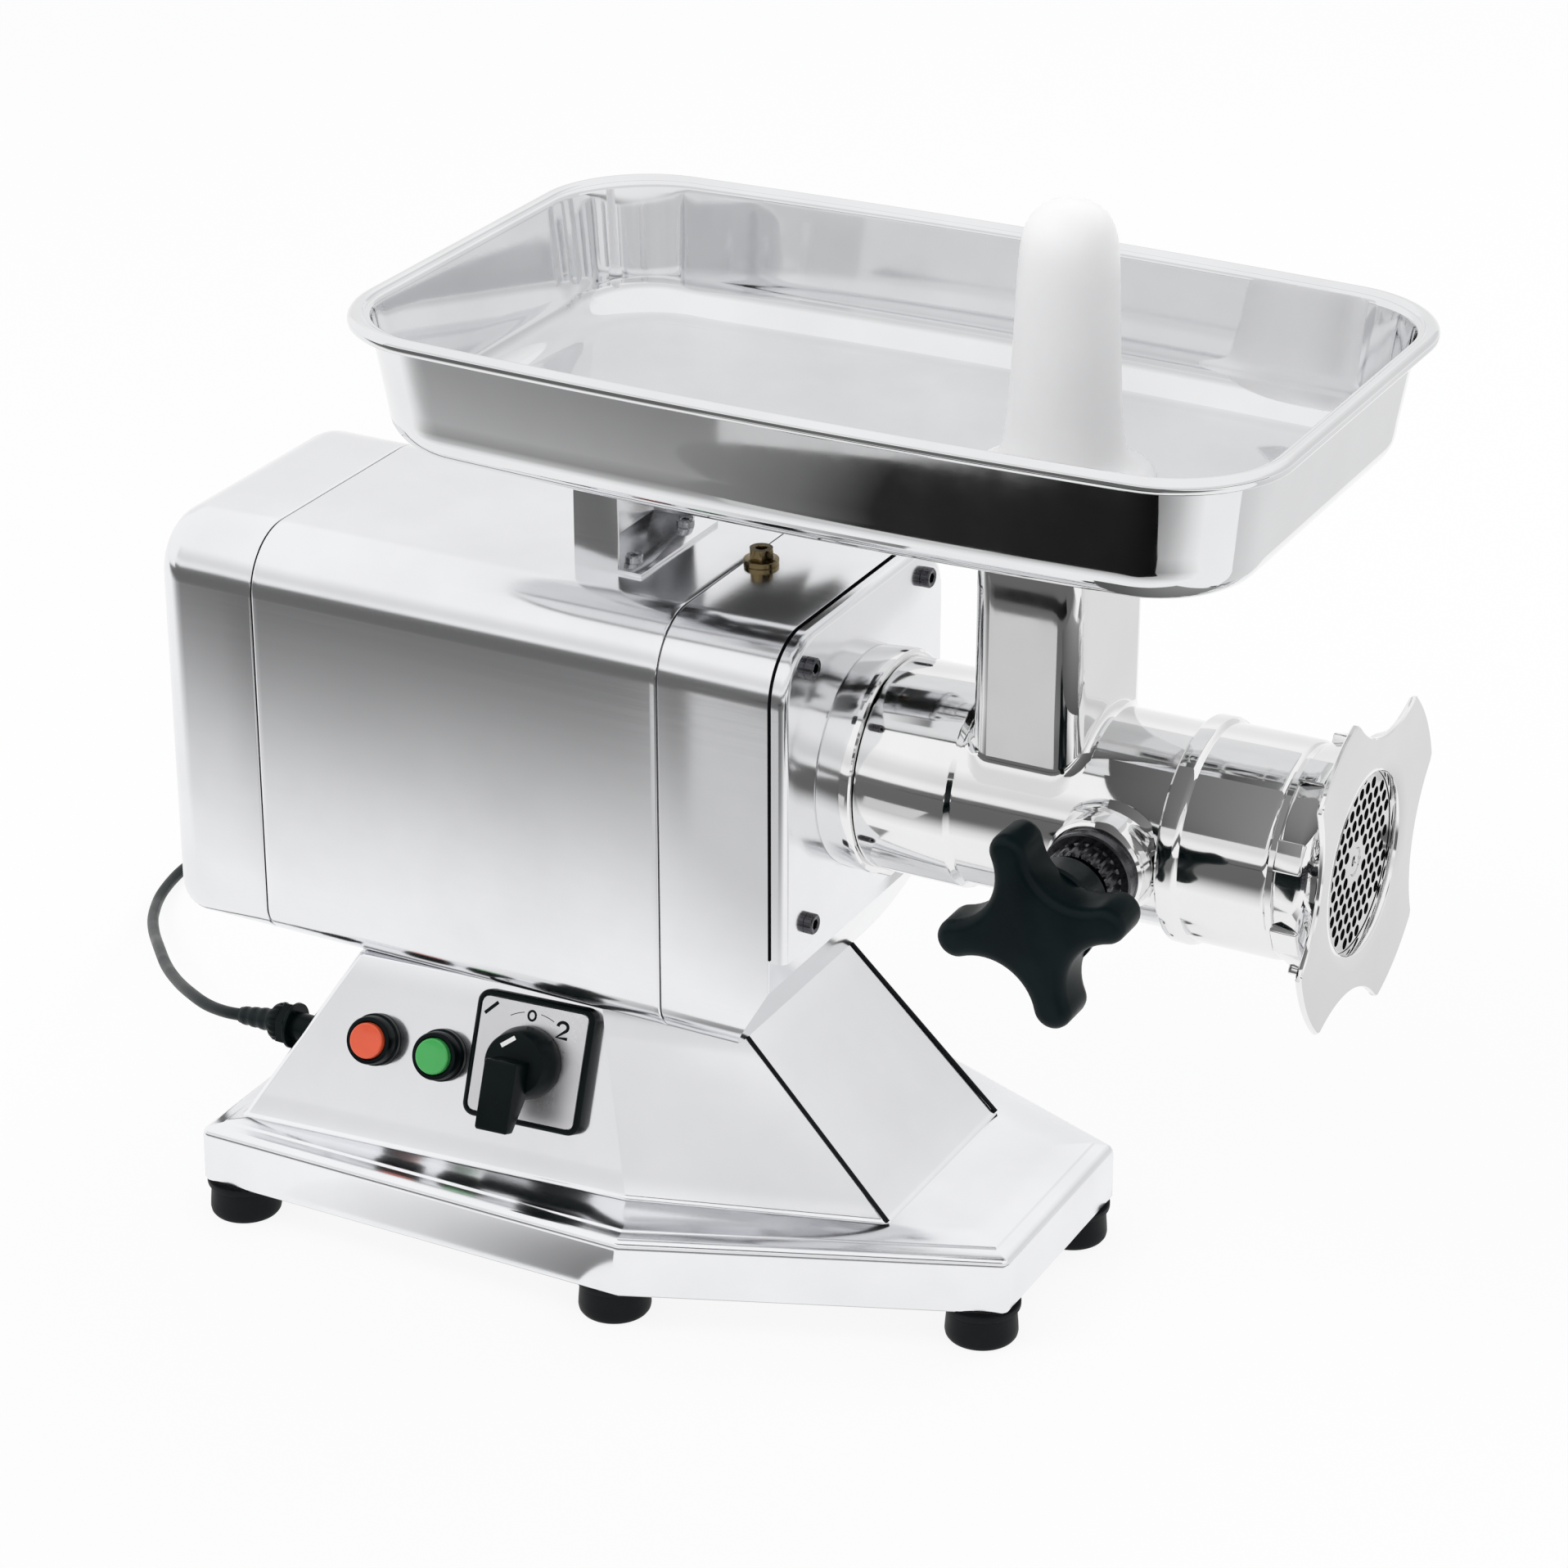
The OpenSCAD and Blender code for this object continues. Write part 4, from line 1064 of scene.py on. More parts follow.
@dataclass
class MainsCord:
    """Mains cord: free run from the gland, a round coil of a few turns lying behind the object, and its plug."""

    diameter: float = 7.0
    coil_centre: tuple[float, float] = (-440.0, 378.0)
    coil_radius: float = 42.0
    turns: float = 3.25
    plug_z: float = 17.1
    pin_gap: float = 9.5
    gland: tuple[float, float, float] = (-245.0, -93.0, 101.0)
    route: tuple[tuple[float, float, float], ...] = (
        (-256, -93, 101), (-270, -93, 100.5), (-288, -93, 99), (-304, -90, 96), (-324, -80, 91), (-348, -62, 84),
        (-374, -38, 74), (-406, -4, 60), (-440, 36, 45), (-476, 80, 29), (-506, 122, 15), (-528, 164, 7),
        (-538, 206, 4.2), (-535, 250, 3.6), (-518, 294, 3.6), (-496, 334, 3.6), (-485.5, 378, 3.6),
    )

    def coil(self) -> Array:
        """Centre line of the coil: clockwise, low and wide, in, up, and out again.

        Radius and height step by one diameter, smoothly, at set parts of a turn.

        Returns:
            Points of shape (m, 3), the first one left out because the route ends there.
        """
        u = np.linspace(0, self.turns, 160)[1:]
        half = self.diameter / 2

        def step(low: float, high: float) -> Array:
            """Smooth step from 0 to 1 between two counts of turns."""
            t = np.clip((u - low) / (high - low), 0, 1)
            return t * t * (3 - 2 * t)

        r = self.coil_radius + half - self.diameter * step(0.82, 0.98) + self.diameter * step(2.3, 2.6)
        z = half + 0.1 + self.diameter * step(1.6, 1.85)
        angle = math.pi - TAU * u
        x, y = self.coil_centre
        return np.column_stack([x + r * np.cos(angle), y + r * np.sin(angle), z])

    def build(self) -> None:
        """Makes the cord, the gland with its relief, the plug and the pins."""
        half = self.diameter / 2
        path = np.concatenate([flow(self.route, 6), self.coil()])
        cord = Shell().add(tube_rings(path, np.full(len(path), half))).mesh("mains_cord")
        finish(cord, "cord_rubber")
        place(cord, "base", "power_cord", "cord_coil")
        plug = self.plug()
        pins = self.pins()
        self.gland_nut()
        self.relief()

    @staticmethod
    def grip(t: Array) -> Array:
        """Factor of the narrow grooves round the plug's body."""
        return 1 - 0.03 * (np.cos(t * 24) > 0.3)

    @staticmethod
    def nut_flats(t: Array) -> Array:
        """Factor of the gland's six-sided nut, with its corners cut by the chamfer."""
        return 1 / np.cos((t + math.pi / 6) % (math.pi / 3) - math.pi / 6) * 0.94

    def plug(self) -> bpy.types.Object:
        """Moulded plug: a ribbed relief that widens into a round body with a grip.

        Returns:
            The plug.
        """
        x, y = self.coil_centre[0], self.coil_centre[1] + self.coil_radius + self.diameter / 2
        s = np.linspace(0, 1, 46)
        lift = 10.6 + (self.plug_z - 10.6) * (s * s * (3 - 2 * s))
        path = np.column_stack([x + 1 + 36 * s, np.full(46, y), lift])
        ribs = np.where((np.arange(46) % 6 < 3) & (s < 0.8), 0.8, 0.0)
        relief = Shell().add(tube_rings(path, 3.9 + 3.0 * s + ribs, 24)).mesh("plug_relief")
        body = [(0, 0), (0, 7), (1, 8.5), (5, 10.5), (9, 14), (12, 16), (14, 16.8), (27, 16.8), (30.5, 16.8),
                (31.8, 15.8), (32, 0)]
        shell = turned("plug_body", body, along_x(x + 36, y, self.plug_z), 64, wave=on_rings(6, 7, self.grip))
        plug = finish(join("mains_plug", [relief, shell]), "cord_rubber")
        return place(plug, "base", "power_plug")

    def pins(self) -> bpy.types.Object:
        """Two round pins with domed ends.

        Returns:
            The pins.
        """
        x, y = self.coil_centre[0] + 68, self.coil_centre[1] + self.coil_radius + self.diameter / 2
        half = [(0, 0), (0, 2.4), (16.5, 2.4), (18.2, 1.7), (19, 0.6), (19, 0)]
        parts = [turned("pin", half, along_x(x, y + s, self.plug_z), 24) for s in (-self.pin_gap, self.pin_gap)]
        return place(finish(join("mains_plug_pins", parts), "turned_brass"), "base", "plug_pins")

    def gland_nut(self) -> None:
        """Cable gland: washer against the sheet, six-sided nut and a domed cap nut with grips."""
        x, y, z = self.gland
        at = along_x(x, y, z)
        washer = [(-9, 3.6), (-9, 12.8), (-10.5, 13), (-11, 12.6), (-11, 3.6)]
        nut = [(-11, 3.6), (-11, 11), (-11.6, 11.6), (-16.4, 11.6), (-17, 11), (-17, 3.6)]
        cap = [(-17, 3.6), (-17, 10.2), (-18, 10.9), (-20, 10.9), (-22.6, 9.8), (-23.8, 7.6), (-24, 3.6)]
        thread = [(-9, 3.6), (-9, 8.1), (13.8, 8.1), (13.8, 3.6)]
        body = join("cord_gland_nut", [
            turned("gland_hexagon", nut, at, 96, True, on_rings(0, len(nut), self.nut_flats)),
            turned("gland_cap", cap, at, 108, True, on_rings(1, 3, partial(knurled, 18, 0.03))),
            turned("gland_thread", thread, at, 48, True),
            turned("gland_washer", washer, at, 72, True),
        ])
        place(finish(body, "black_moulded"), "base", "cord_gland")

    def relief(self) -> None:
        """Tapered strain relief with rings, round the cord where it leaves the gland."""
        path = flow(self.route[:4], 24)
        path = path[(path[:, 0] < -268.4) & (path[:, 0] > -291)]
        s = np.linspace(0, 1, len(path))
        rings = np.where(np.arange(len(path)) % 8 < 4, 0.35, 0.0)
        outer = tube_rings(path, 6.6 - 2.0 * s + rings, 28)
        inner = tube_rings(path, np.full(len(path), 3.52), 28)
        piece = Shell().add(np.concatenate([outer, inner[::-1]]), Ends.LOOP).mesh("cord_relief")
        place(finish(piece, "cord_rubber"), "base", "strain_relief")


# ---------------------------------------------------------------- stand


def block(name: str, low: Sequence[float], high: Sequence[float]) -> bpy.types.Object:
    """A plain box between two corners, in millimetres, to be joined, cut or rounded.

    Args:
        name: its name.
        low: lowest corner.
        high: highest corner.

    Returns:
        The box.
    """
    middle = (np.array(low) + np.array(high)) / 2
    half = (np.array(high) - np.array(low)) / 2
    return prism(name, box2(half[0], half[1]), [(0, -half[2]), (0, half[2])], along_z(*middle))


def united(name: str, parts: Sequence[bpy.types.Object]) -> bpy.types.Object:
    """Unites closed meshes into one with exact booleans.

    Args:
        name: the piece's name.
        parts: the meshes, of which the first one stays.

    Returns:
        The united piece.
    """
    first = parts[0]
    for part in parts[1:]:
        step = first.modifiers.new("unite", "BOOLEAN")
        step.operation, step.solver, step.object = "UNION", "EXACT", part
        bake_modifiers(first)
        bpy.data.objects.remove(part)
    first.name = first.data.name = name
    smooth(first)
    return first


@dataclass
class Stand:
    """Folded base tray on six rubber feet, and the pedestal with sloping panels."""

    rear: float = -284.0
    kink: float = -18.5
    front: float = 174.0
    half: float = 149.5
    front_half: float = 69.5
    low: float = 23.5
    top: float = 58.5
    pedestal_top: float = 152.0
    sheet: float = 2.0
    notch: float = 2.4
    seam_r: float = 1.25
    feet: tuple[tuple[float, float], ...] = ((-268, 131), (-33, 126), (154, 58))
    foot_corners: tuple = ((-268.8, 129.3), (-34.3, 110.0), (102.0, 67.4))
    head_corners: tuple = ((-216.7, 84.75), (-69.1, 72.6), (8.8, 61.0))

    def base(self) -> None:
        """Base tray: six-sided outline with rounded corners, carried up a folded edge with a stepped shoulder."""
        right = np.array([(self.rear, -self.half), (self.kink, -self.half), (self.front, -self.front_half)])
        corners = np.concatenate([right, right[::-1] * [1, -1]])
        radii = np.array([5, 9, 5, 5, 9, 5.0])

        def outline(inset: float) -> Array:
            """Plan of the tray at an inset, its corner radii made smaller with it."""
            return rounded(inset_corners(corners, inset), np.maximum(radii - inset, 0.8), 8)

        t, low, top = self.sheet, self.low, self.top
        inner = [(30, top - t), (6, top - t), (t, top - 7), (t, low + t), (34, low + t), (34, low)]
        edge = [(1.6, low), (0.5, low + 0.5), (0, low + 1.6), (0, top - 7.5), (0.35, top - 5.4), (1.3, top - 3.6),
                (2.8, top - 2.3), (4.6, top - 1.6), (9.2, top - 1.1), (9.9, top - 0.9), (10.5, top - 0.3),
                (11.3, top), (30, top)]
        tray = prism("base_sheet_tray", outline, inner + edge, along_z())
        place(finish(tray, "base_sheet"), "base", "base_tray")

    def pedestal(self) -> None:
        """Pedestal: its six corner points run straight from foot to head, with small bends at the corners."""
        low, high = (np.concatenate([np.array(side) * [1, -1], side[::-1]])
                     for side in (self.foot_corners, self.head_corners))
        radii = np.array([3.5, 5.0, 3.0, 3.0, 5.0, 3.5])
        z0, z1 = self.top, self.pedestal_top

        def ring(inset: float, z: float) -> Array:
            """One ring at a height. The skin's two front corners are notched.

            Args:
                inset: distance inwards.
                z: height.

            Returns:
                Points of shape (n, 3).
            """
            share = (z - z0) / (z1 - z0)
            corners = inset_corners(low + (high - low) * share, inset)
            loop = rounded(corners, np.maximum(radii - inset, 0.6), 6)
            if 0 <= inset < 2:
                loop[17] += (0, self.notch)
                loop[24] -= (0, self.notch)
            return np.column_stack([loop, np.full(len(loop), z)])

        wall = [(2.2, z1 - 2), (2.2, z0), (-0.9, z0), (-0.9, z0 + 0.5), (-0.3, z0 + 1.3), (0, z0 + 2.2)]
        rise = [(0, z) for z in np.linspace(z0 + 14, z1 - 1, 6)]
        rings = np.array([ring(i, z) for i, z in wall + rise + [(0.3, z1 - 0.2), (1.0, z1)]])
        place(finish(Shell().add(rings).mesh("pedestal_sheet"), "base_sheet"), "base", "pedestal")
        self.seams()

    def seams(self) -> None:
        """Dark tubes of painted shade in the notched open corners of the pedestal's front and in the gap along its
        upper edge under the housing.
        """
        low = np.array((*self.foot_corners[2], self.top + 1))
        high = np.array((*self.head_corners[2], self.pedestal_top))
        flip = np.array([1, -1, 1])
        shell = Shell()
        lines = ((low * flip, high * flip, self.seam_r), (low, high, self.seam_r),
                 (high * flip, high, self.seam_r + 0.05))
        for start, end, radius in lines:
            path = start + (end - start) * np.linspace(0, 1, 12)[:, None]
            shell.add(tube_rings(path, np.full(12, radius), 8))
        # Painted shade: black rubber tubes stand for the shadow in these corners and under the housing.
        place(finish(shell.mesh("pedestal_seam_shade"), "foot_rubber"), "base")

    def rubber_feet(self) -> None:
        """Six turned rubber feet with a waist and a wider head, hollow under the bolt."""
        half = [(0, 10.2), (0, 17.6), (0.5, 18.7), (1.6, 19.5), (3.5, 19.9), (7, 19.7), (13, 19.2), (17.2, 19.2),
                (18.0, 19.8), (18.6, 20.8), (19.4, 21), (21.6, 21), (22, 20.6), (22, 4.3), (9, 4.3), (9, 10.2)]
        parts = [turned("foot", half, along_z(x, s * y, 0), 64, True) for x, y in self.feet for s in (-1, 1)]
        place(finish(join("rubber_feet", parts), "foot_rubber"), "base", "feet")

    def build(self) -> None:
        """Makes the stand."""
        self.base()
        self.pedestal()
        self.rubber_feet()


# ---------------------------------------------------------------- housing


def socket_screw(name: str, at: Place, shank: float, head: float, height: float, length: float,
                 key: float) -> bpy.types.Object:
    """Cap screw with a knurled head, a chamfer and a six-sided socket.

    Args:
        name: its name.
        at: frame whose c points out of the head, with 0 under the head.
        shank: radius of the shank.
        head: radius of the head.
        height: height of the head.
        length: length of the shank.
        key: radius through the socket's corners.

    Returns:
        The screw.
    """
    half = [(-length, 0), (-length, shank * 0.8), (-length + 0.8, shank), (0, shank), (0, head - 0.3), (0.3, head),
            (height - 0.7, head), (height, head - 0.7), (height, key + 0.5), (height - 0.4, key), (height * 0.4, key),
            (height * 0.4 - 0.5, key * 0.6), (height * 0.4 - 0.5, 0)]
    rim = on_rings(5, 6, partial(knurled, 24, 0.012))
    socket = on_rings(9, len(half), hexagonal)

    def wave(t: Array, i: int) -> Array:
        """Knurls on the head's rim, a hexagon down the socket."""
        return rim(t, i) * socket(t, i)

    return turned(name, half, at, 96, wave=wave)


@dataclass
class Housing:
    """Motor housing: long sleeve, rounded rear cap, geared front casing with its plate."""

    half: float = 93.0
    low: float = 152.0
    top: float = 391.0
    low_r: float = 20.0
    top_r: float = 34.0
    rear: float = -335.0
    cap_seam: float = -270.0
    front_seam: float = -21.0
    plate_back: float = 44.0
    face: float = 53.0
    motor_z: float = 287.25
    plug_at: tuple[float, float] = (-12.0, 5.0)
    slots: int = 11
    slot_pitch: float = 9.0
    slot_half: tuple[float, float] = (2.0, 25.0)
    cap_screw_at: float = 40.0
    plate_low: float = 212.5
    plate_screw_y: float = 67.0
    plate_screw_z: tuple[float, float] = (227.0, 373.0)
    bracket_x: float = -98.0
    bracket_half: float = 42.0
    bracket_top: float = 469.7

    def outline(self, inset: float) -> Array:
        """Section of the housing across X: a box with a wide round at the top and a smaller one below.

        Args:
            inset: distance inwards.

        Returns:
            The closed outline, shape (n, 2).
        """
        corners = np.array([(self.half, self.low), (self.half, self.top), (-self.half, self.top),
                            (-self.half, self.low)])
        radii = np.array([self.low_r, self.top_r, self.top_r, self.low_r]) - inset
        return rounded(inset_corners(corners, inset), np.maximum(radii, 1.0), 18)

    def along(self, name: str, profile: Sequence[Sequence[float]], ends: Ends = Ends.FLAT) -> bpy.types.Object:
        """The housing's section carried along X.

        Args:
            name: name of the piece.
            profile: pairs (inset, x).
            ends: how its ends close.

        Returns:
            The piece.
        """
        return prism(name, self.outline, profile, along_x(0, 0, 0), ends)

    def sleeve(self) -> None:
        """The sleeve: the section carried along X, with its ends folded in at the seams."""
        a, b = self.cap_seam + 0.6, self.front_seam - 0.6
        outer = [(1.2, a), (0.45, a + 0.15), (0.1, a + 0.6), (0, a + 1.3)]
        outer += [(0, x) for x in np.linspace(a + 4, b - 4, 12)]
        outer += [(0, b - 1.3), (0.1, b - 0.6), (0.45, b - 0.15), (1.2, b), (1.5, b), (1.5, a)]
        sleeve = self.along("housing_sheet", outer, Ends.LOOP)
        place(finish(sleeve, "satin_sheet"), "base", "housing_sleeve")

    def rear_cap(self) -> None:
        """Drawn rear cap: the section shrinks round a quarter circle to the end face, which has cooling slots."""
        edge, x0, x1 = 20.0, self.rear, self.cap_seam
        inner = [(edge + 2, x0 + 2.6), (edge / 2, x0 + 5), (4.5, x0 + edge), (3.2, x1), (1.2, x1)]
        outer = [(0.45, x1 - 0.15), (0.1, x1 - 0.6), (0, x1 - 1.3), (0, x1 - 20)]
        turn = np.linspace(0, math.pi / 2, 13)
        outer += [(edge * (1 - math.cos(t)), x0 + edge * (1 - math.sin(t))) for t in turn]
        cap = self.along("rear_cap_sheet", inner + outer)
        slot = rounded(box2(*self.slot_half), [self.slot_half[0] - 0.1] * 4, 6)
        cutters = Shell()
        for i in range(self.slots):
            y = (i - self.slots // 2) * self.slot_pitch
            cutters.add(prism_rings(slot, [(0, x0 - 4), (0, x0 + 14)], along_x(0, y, self.motor_z)))
        cut(cap, cutters.mesh("slots"))
        place(finish(cap, "satin_sheet"), "base", "rear_cap")
        parts = []
        for y in (-self.cap_screw_at, self.cap_screw_at):
            for z in (-self.cap_screw_at, self.cap_screw_at):
                at = Place((x0, y, self.motor_z + z), (0, 1, 0), (0, 0, -1), (-1, 0, 0))
                parts.append(socket_screw("screw", at, 2.4, 5.0, 3.0, 18, 2.4))
        place(finish(join("rear_cap_screws", parts), "zinc_screw"), "base", "cap_screws")

    def casing(self) -> None:
        """Front casing with its lower slant, and the plate with rounded edges and four socket screws."""
        a, b, f = self.front_seam, self.plate_back, self.face
        body = [(1.4, a), (0.5, a + 0.15), (0.1, a + 0.6), (0, a + 1.4), (0, a + 20), (0, b - 1), (0.2, b - 0.3),
                (0.7, b)]
        casing = self.along("front_casing_sheet", body)
        slice_off(casing, (19, 0, self.low), (62, 0, -36))
        place(finish(casing, "satin_sheet"), "base", "front_casing")
        rise = [(0.9, b + 0.02), (0.9, f - 4.6)] + [(0.9 + i, f - d) for i, d in fillet(4.6, 8)[::-1]]
        plate = self.along("front_plate_cover", rise)
        slice_off(plate, (0, 0, self.plate_low), (0, 0, -1))
        place(finish(plate, "satin_sheet"), "base", "front_plate")
        parts = [socket_screw("screw", along_x(f, y, z), 2.9, 5.5, 5.0, 20, 3.0)
                 for y in (-self.plate_screw_y, self.plate_screw_y) for z in self.plate_screw_z]
        place(finish(join("front_plate_screws", parts), "blackened_steel"), "base", "plate_screws")
        # Painted shade: a flat black band sunk in the joint between casing and plate stands for the shadow in that
        # gap.
        gap = [(3.0, b - 0.9), (0.1, b - 0.9), (0.1, b + 0.5), (3.0, b + 0.5)]
        line = self.along("front_plate_gap_shade", gap, Ends.LOOP)
        slice_off(line, (0, 0, self.plate_low + 1.5), (0, 0, -1))
        place(finish(line, "painted_shade_black"), "base")

    def oil_plug(self) -> None:
        """Brass oil plug: washer, flange, six-sided head with a chamfer and a centre mark."""
        half = [(-10, 0), (-10, 5.2), (-9, 6), (0, 6), (0, 9.2), (0.3, 9.5), (2.7, 9.5), (3, 9.2), (3.0, 7.3),
                (3.2, 7.0), (8.2, 7.0), (9, 6.2), (9, 3.2), (8.6, 3), (6, 3), (5.6, 0)]
        at = along_z(*self.plug_at, self.top)
        plug = turned("oil_plug_brass", half, at, 96, wave=on_rings(9, 10, hexagonal))
        place(finish(plug, "darkened_brass"), "base", "oil_plug")

    def bracket(self) -> None:
        """Bent bracket that carries the tray: back, two wings, foot and head, with rounded folds."""
        x0, h, z0, z1 = self.bracket_x, self.bracket_half, self.top, self.bracket_top
        parts = [
            block("foot", (x0, -h, z0), (x0 + 40, h, z0 + 2)),
            block("back", (x0, -h, z0 + 0.01), (x0 + 2, h, z1 - 0.01)),
            block("near_wing", (x0 + 0.01, -h, z0 + 0.02), (x0 + 26, 2 - h, z1 - 0.02)),
            block("far_wing", (x0 + 0.01, h - 2, z0 + 0.02), (x0 + 26, h, z1 - 0.02)),
            block("head", (x0, -h, z1 - 2), (x0 + 40, h, z1)),
        ]
        bracket = united("tray_bracket_sheet", parts)
        soften(bracket, 0.7, 40, 2)
        place(finish(bracket, "satin_sheet"), "base", "tray_bracket")
        screws = [socket_screw("screw", along_z(-70, y, z0 + 2), 2.4, 4.75, 4.0, 8, 2.3) for y in (-28, 28)]
        place(finish(join("bracket_cap_screws", screws), "zinc_screw"), "base", "bracket_screws")

    def build(self) -> None:
        """Makes the housing and what is fixed to it."""
        self.sleeve()
        self.rear_cap()
        self.casing()
        self.oil_plug()
        self.bracket()


# ---------------------------------------------------------------- grinding head


@dataclass
class Head:
    """Grinding head: neck flange, barrel with throat and boss, lock knob, ring nut, plate and pin."""

    barrel_r: float = 54.0
    snout_r: float = 57.0
    throat_x: float = 162.0
    throat_half: tuple[float, float] = (30.0, 44.0)
    throat_top: float = 469.7
    wall: float = 5.0
    boss_x: float = 216.0
    knob_y: float = -124.0
    end: float = 328.0
    lip: float = 243.0
    guard_r: float = 91.0
    guard_dip: float = 66.6
    dip_r: float = 72.0
    dip_angle: float = 78.0
    lugs: int = 8
    plate_r: float = 49.6
    plate_bore: float = 7.6
    hole_r: float = 3.15
    hole_pitch: float = 8.2
    holes_from: float = 11.5
    holes_to: float = 44.6

    def neck(self) -> None:
        """Neck flange: a turned ring with a deep seat, and a small lug that sets the head upright."""
        half = [(53, 30), (53, 58.4), (53.6, 59), (55, 59.3), (66, 60.3), (70.6, 60.5), (72.2, 60), (73, 58.8),
                (73, 46.4), (72.4, 45.3), (58, 45.3), (58, 30)]
        ring = turned("neck_ring", half, along_x(), 144, True)
        lug = block("lug", (53.2, -6, AXIS_Z - 66), (71, 6, AXIS_Z - 52))
        soften(lug, 1.5, 30, 3)
        place(finish(join("neck_flange_cast", [ring, lug]), "polished_cast"), "base", "neck_flange")

    def throat_outline(self, inset: float) -> Array:
        """Outline of the throat: a rounded oblong, closely divided so that its foot can follow the barrel."""
        corners = box2(self.throat_half[0] - inset, self.throat_half[1] - inset)
        return resampled(rounded(corners, [max(12 - inset * 0.6, 1.0)] * 4, 10), 2.5)

    def throat(self) -> bpy.types.Object:
        """Throat with a fillet at its foot.

        A foot point lies on the barrel at z = axis + sqrt(R^2 - y^2); the fillet leaves it on a quarter circle.

        Returns:
            The throat.
        """
        base = self.throat_outline(0)
        n = len(base)
        angles = np.linspace(0, math.pi / 2, 7)
        radius = 6.0
        rings = []
        angles_of = np.arctan2(base[:, 1], base[:, 0])
        inner = at_angles(self.throat_outline(self.wall), angles_of)
        rings.append(np.column_stack([inner, np.full(n, AXIS_Z + 36)]))
        rings.append(np.column_stack([base * 0.5 + inner * 0.5, np.full(n, AXIS_Z + 22)]))
        for a in angles:
            loop = shrunk(base, -radius * (1 - math.sin(a)))
            y = np.clip(np.abs(loop[:, 1]), 0, self.barrel_r - 0.8)
            foot = AXIS_Z + np.sqrt(self.barrel_r**2 - y**2) + radius * (1 - math.cos(a)) - 0.15
            rings.append(np.column_stack([loop, foot]))
        top = self.throat_top
        for inset, z in [(0, 360), (0, 410), (0, top - 1.5), (0.4, top - 0.4), (1.4, top)]:
            loop = base if inset == 0 else shrunk(base, inset)
            rings.append(np.column_stack([loop, np.full(n, z)]))
        for inset, z in [(self.wall - 0.8, top), (self.wall, top - 1)]:
            rings.append(np.column_stack([at_angles(self.throat_outline(inset), angles_of), np.full(n, z)]))
        rings = np.array(rings) + [self.throat_x, 0, 0]
        return Shell().add(rings, Ends.LOOP).mesh("throat")

    def body(self) -> None:
        """Barrel with its step, throat and lock boss."""
        half = [(73.3, 45), (73.3, 56), (73.9, 56.8), (75, 57), (124.2, 57), (125.4, 56.6), (127.4, 54.5), (129, 54),
                (243.5, 54), (246, 52.3), (327.4, 52.3), (327.8, 51.9), (327.8, 49.7), (316.8, 49.7), (316.8, 46.5),
                (97, 46.5), (97, 19.1), (57.3, 19.1), (57.3, 44.6), (57.8, 45)]
        barrel = turned("barrel", half, along_x(), 160, True)
        hole = self.throat_outline(self.wall)
        cutter = Shell().add(prism_rings(hole, [(0, AXIS_Z + 8), (0, 420)], along_z(self.throat_x)))
        cut(barrel, cutter.mesh("throat_hole"))
        boss_half = [(49.5, 8.3), (49.5, 30.5), (51.5, 28.6), (55, 27.4), (58, 27), (69.2, 27), (70.8, 26.5),
                     (72, 25), (72, 9.2), (71, 8.3)]
        boss = turned("boss", boss_half, towards_user(self.boss_x, 0, AXIS_Z), 96, True)
        throat = self.throat()
        cut(throat, turned("bore", [(97, 0), (97, 46.5), (300, 46.5), (300, 0)], along_x(), 160))
        body = join("head_cast", [barrel, throat, boss])
        place(finish(body, "polished_cast"), "base", "head_body")

    @staticmethod
    def ribs(t: Array) -> Array:
        """Factor of the collar's 22 ribs, with steep flanks."""
        return 1 + 0.035 * np.tanh(3 * np.cos(t * 22))

    def lock(self) -> None:
        """Lock: stud, ribbed collar and the knob with four rounded arms."""
        x, z = self.boss_x, AXIS_Z
        stud = turned("lock_stud_steel", [(48, 0), (48, 7.4), (48.8, 8), (137.4, 8), (138, 7.4), (138, 0)],
                      towards_user(x, 0, z), 48)
        place(finish(stud, "turned_steel"), "lock", "lock_stud")
        half = [(72.2, 8.1), (72.2, 23.2), (73, 24), (79.2, 24), (80.2, 23.2), (80.4, 19.4), (81.2, 19.0),
                (82, 19.3), (92.4, 19.3), (93.4, 19.0), (94.2, 18.2), (94.2, 8.1)]
        collar = turned("lock_collar_ribbed", half, towards_user(x, 0, z), 176, True, on_rings(6, 9, self.ribs))
        place(finish(collar, "blackened_steel"), "lock", "lock_collar")
        place(finish(self.knob(), "knob_moulded"), "lock", "lock_knob")

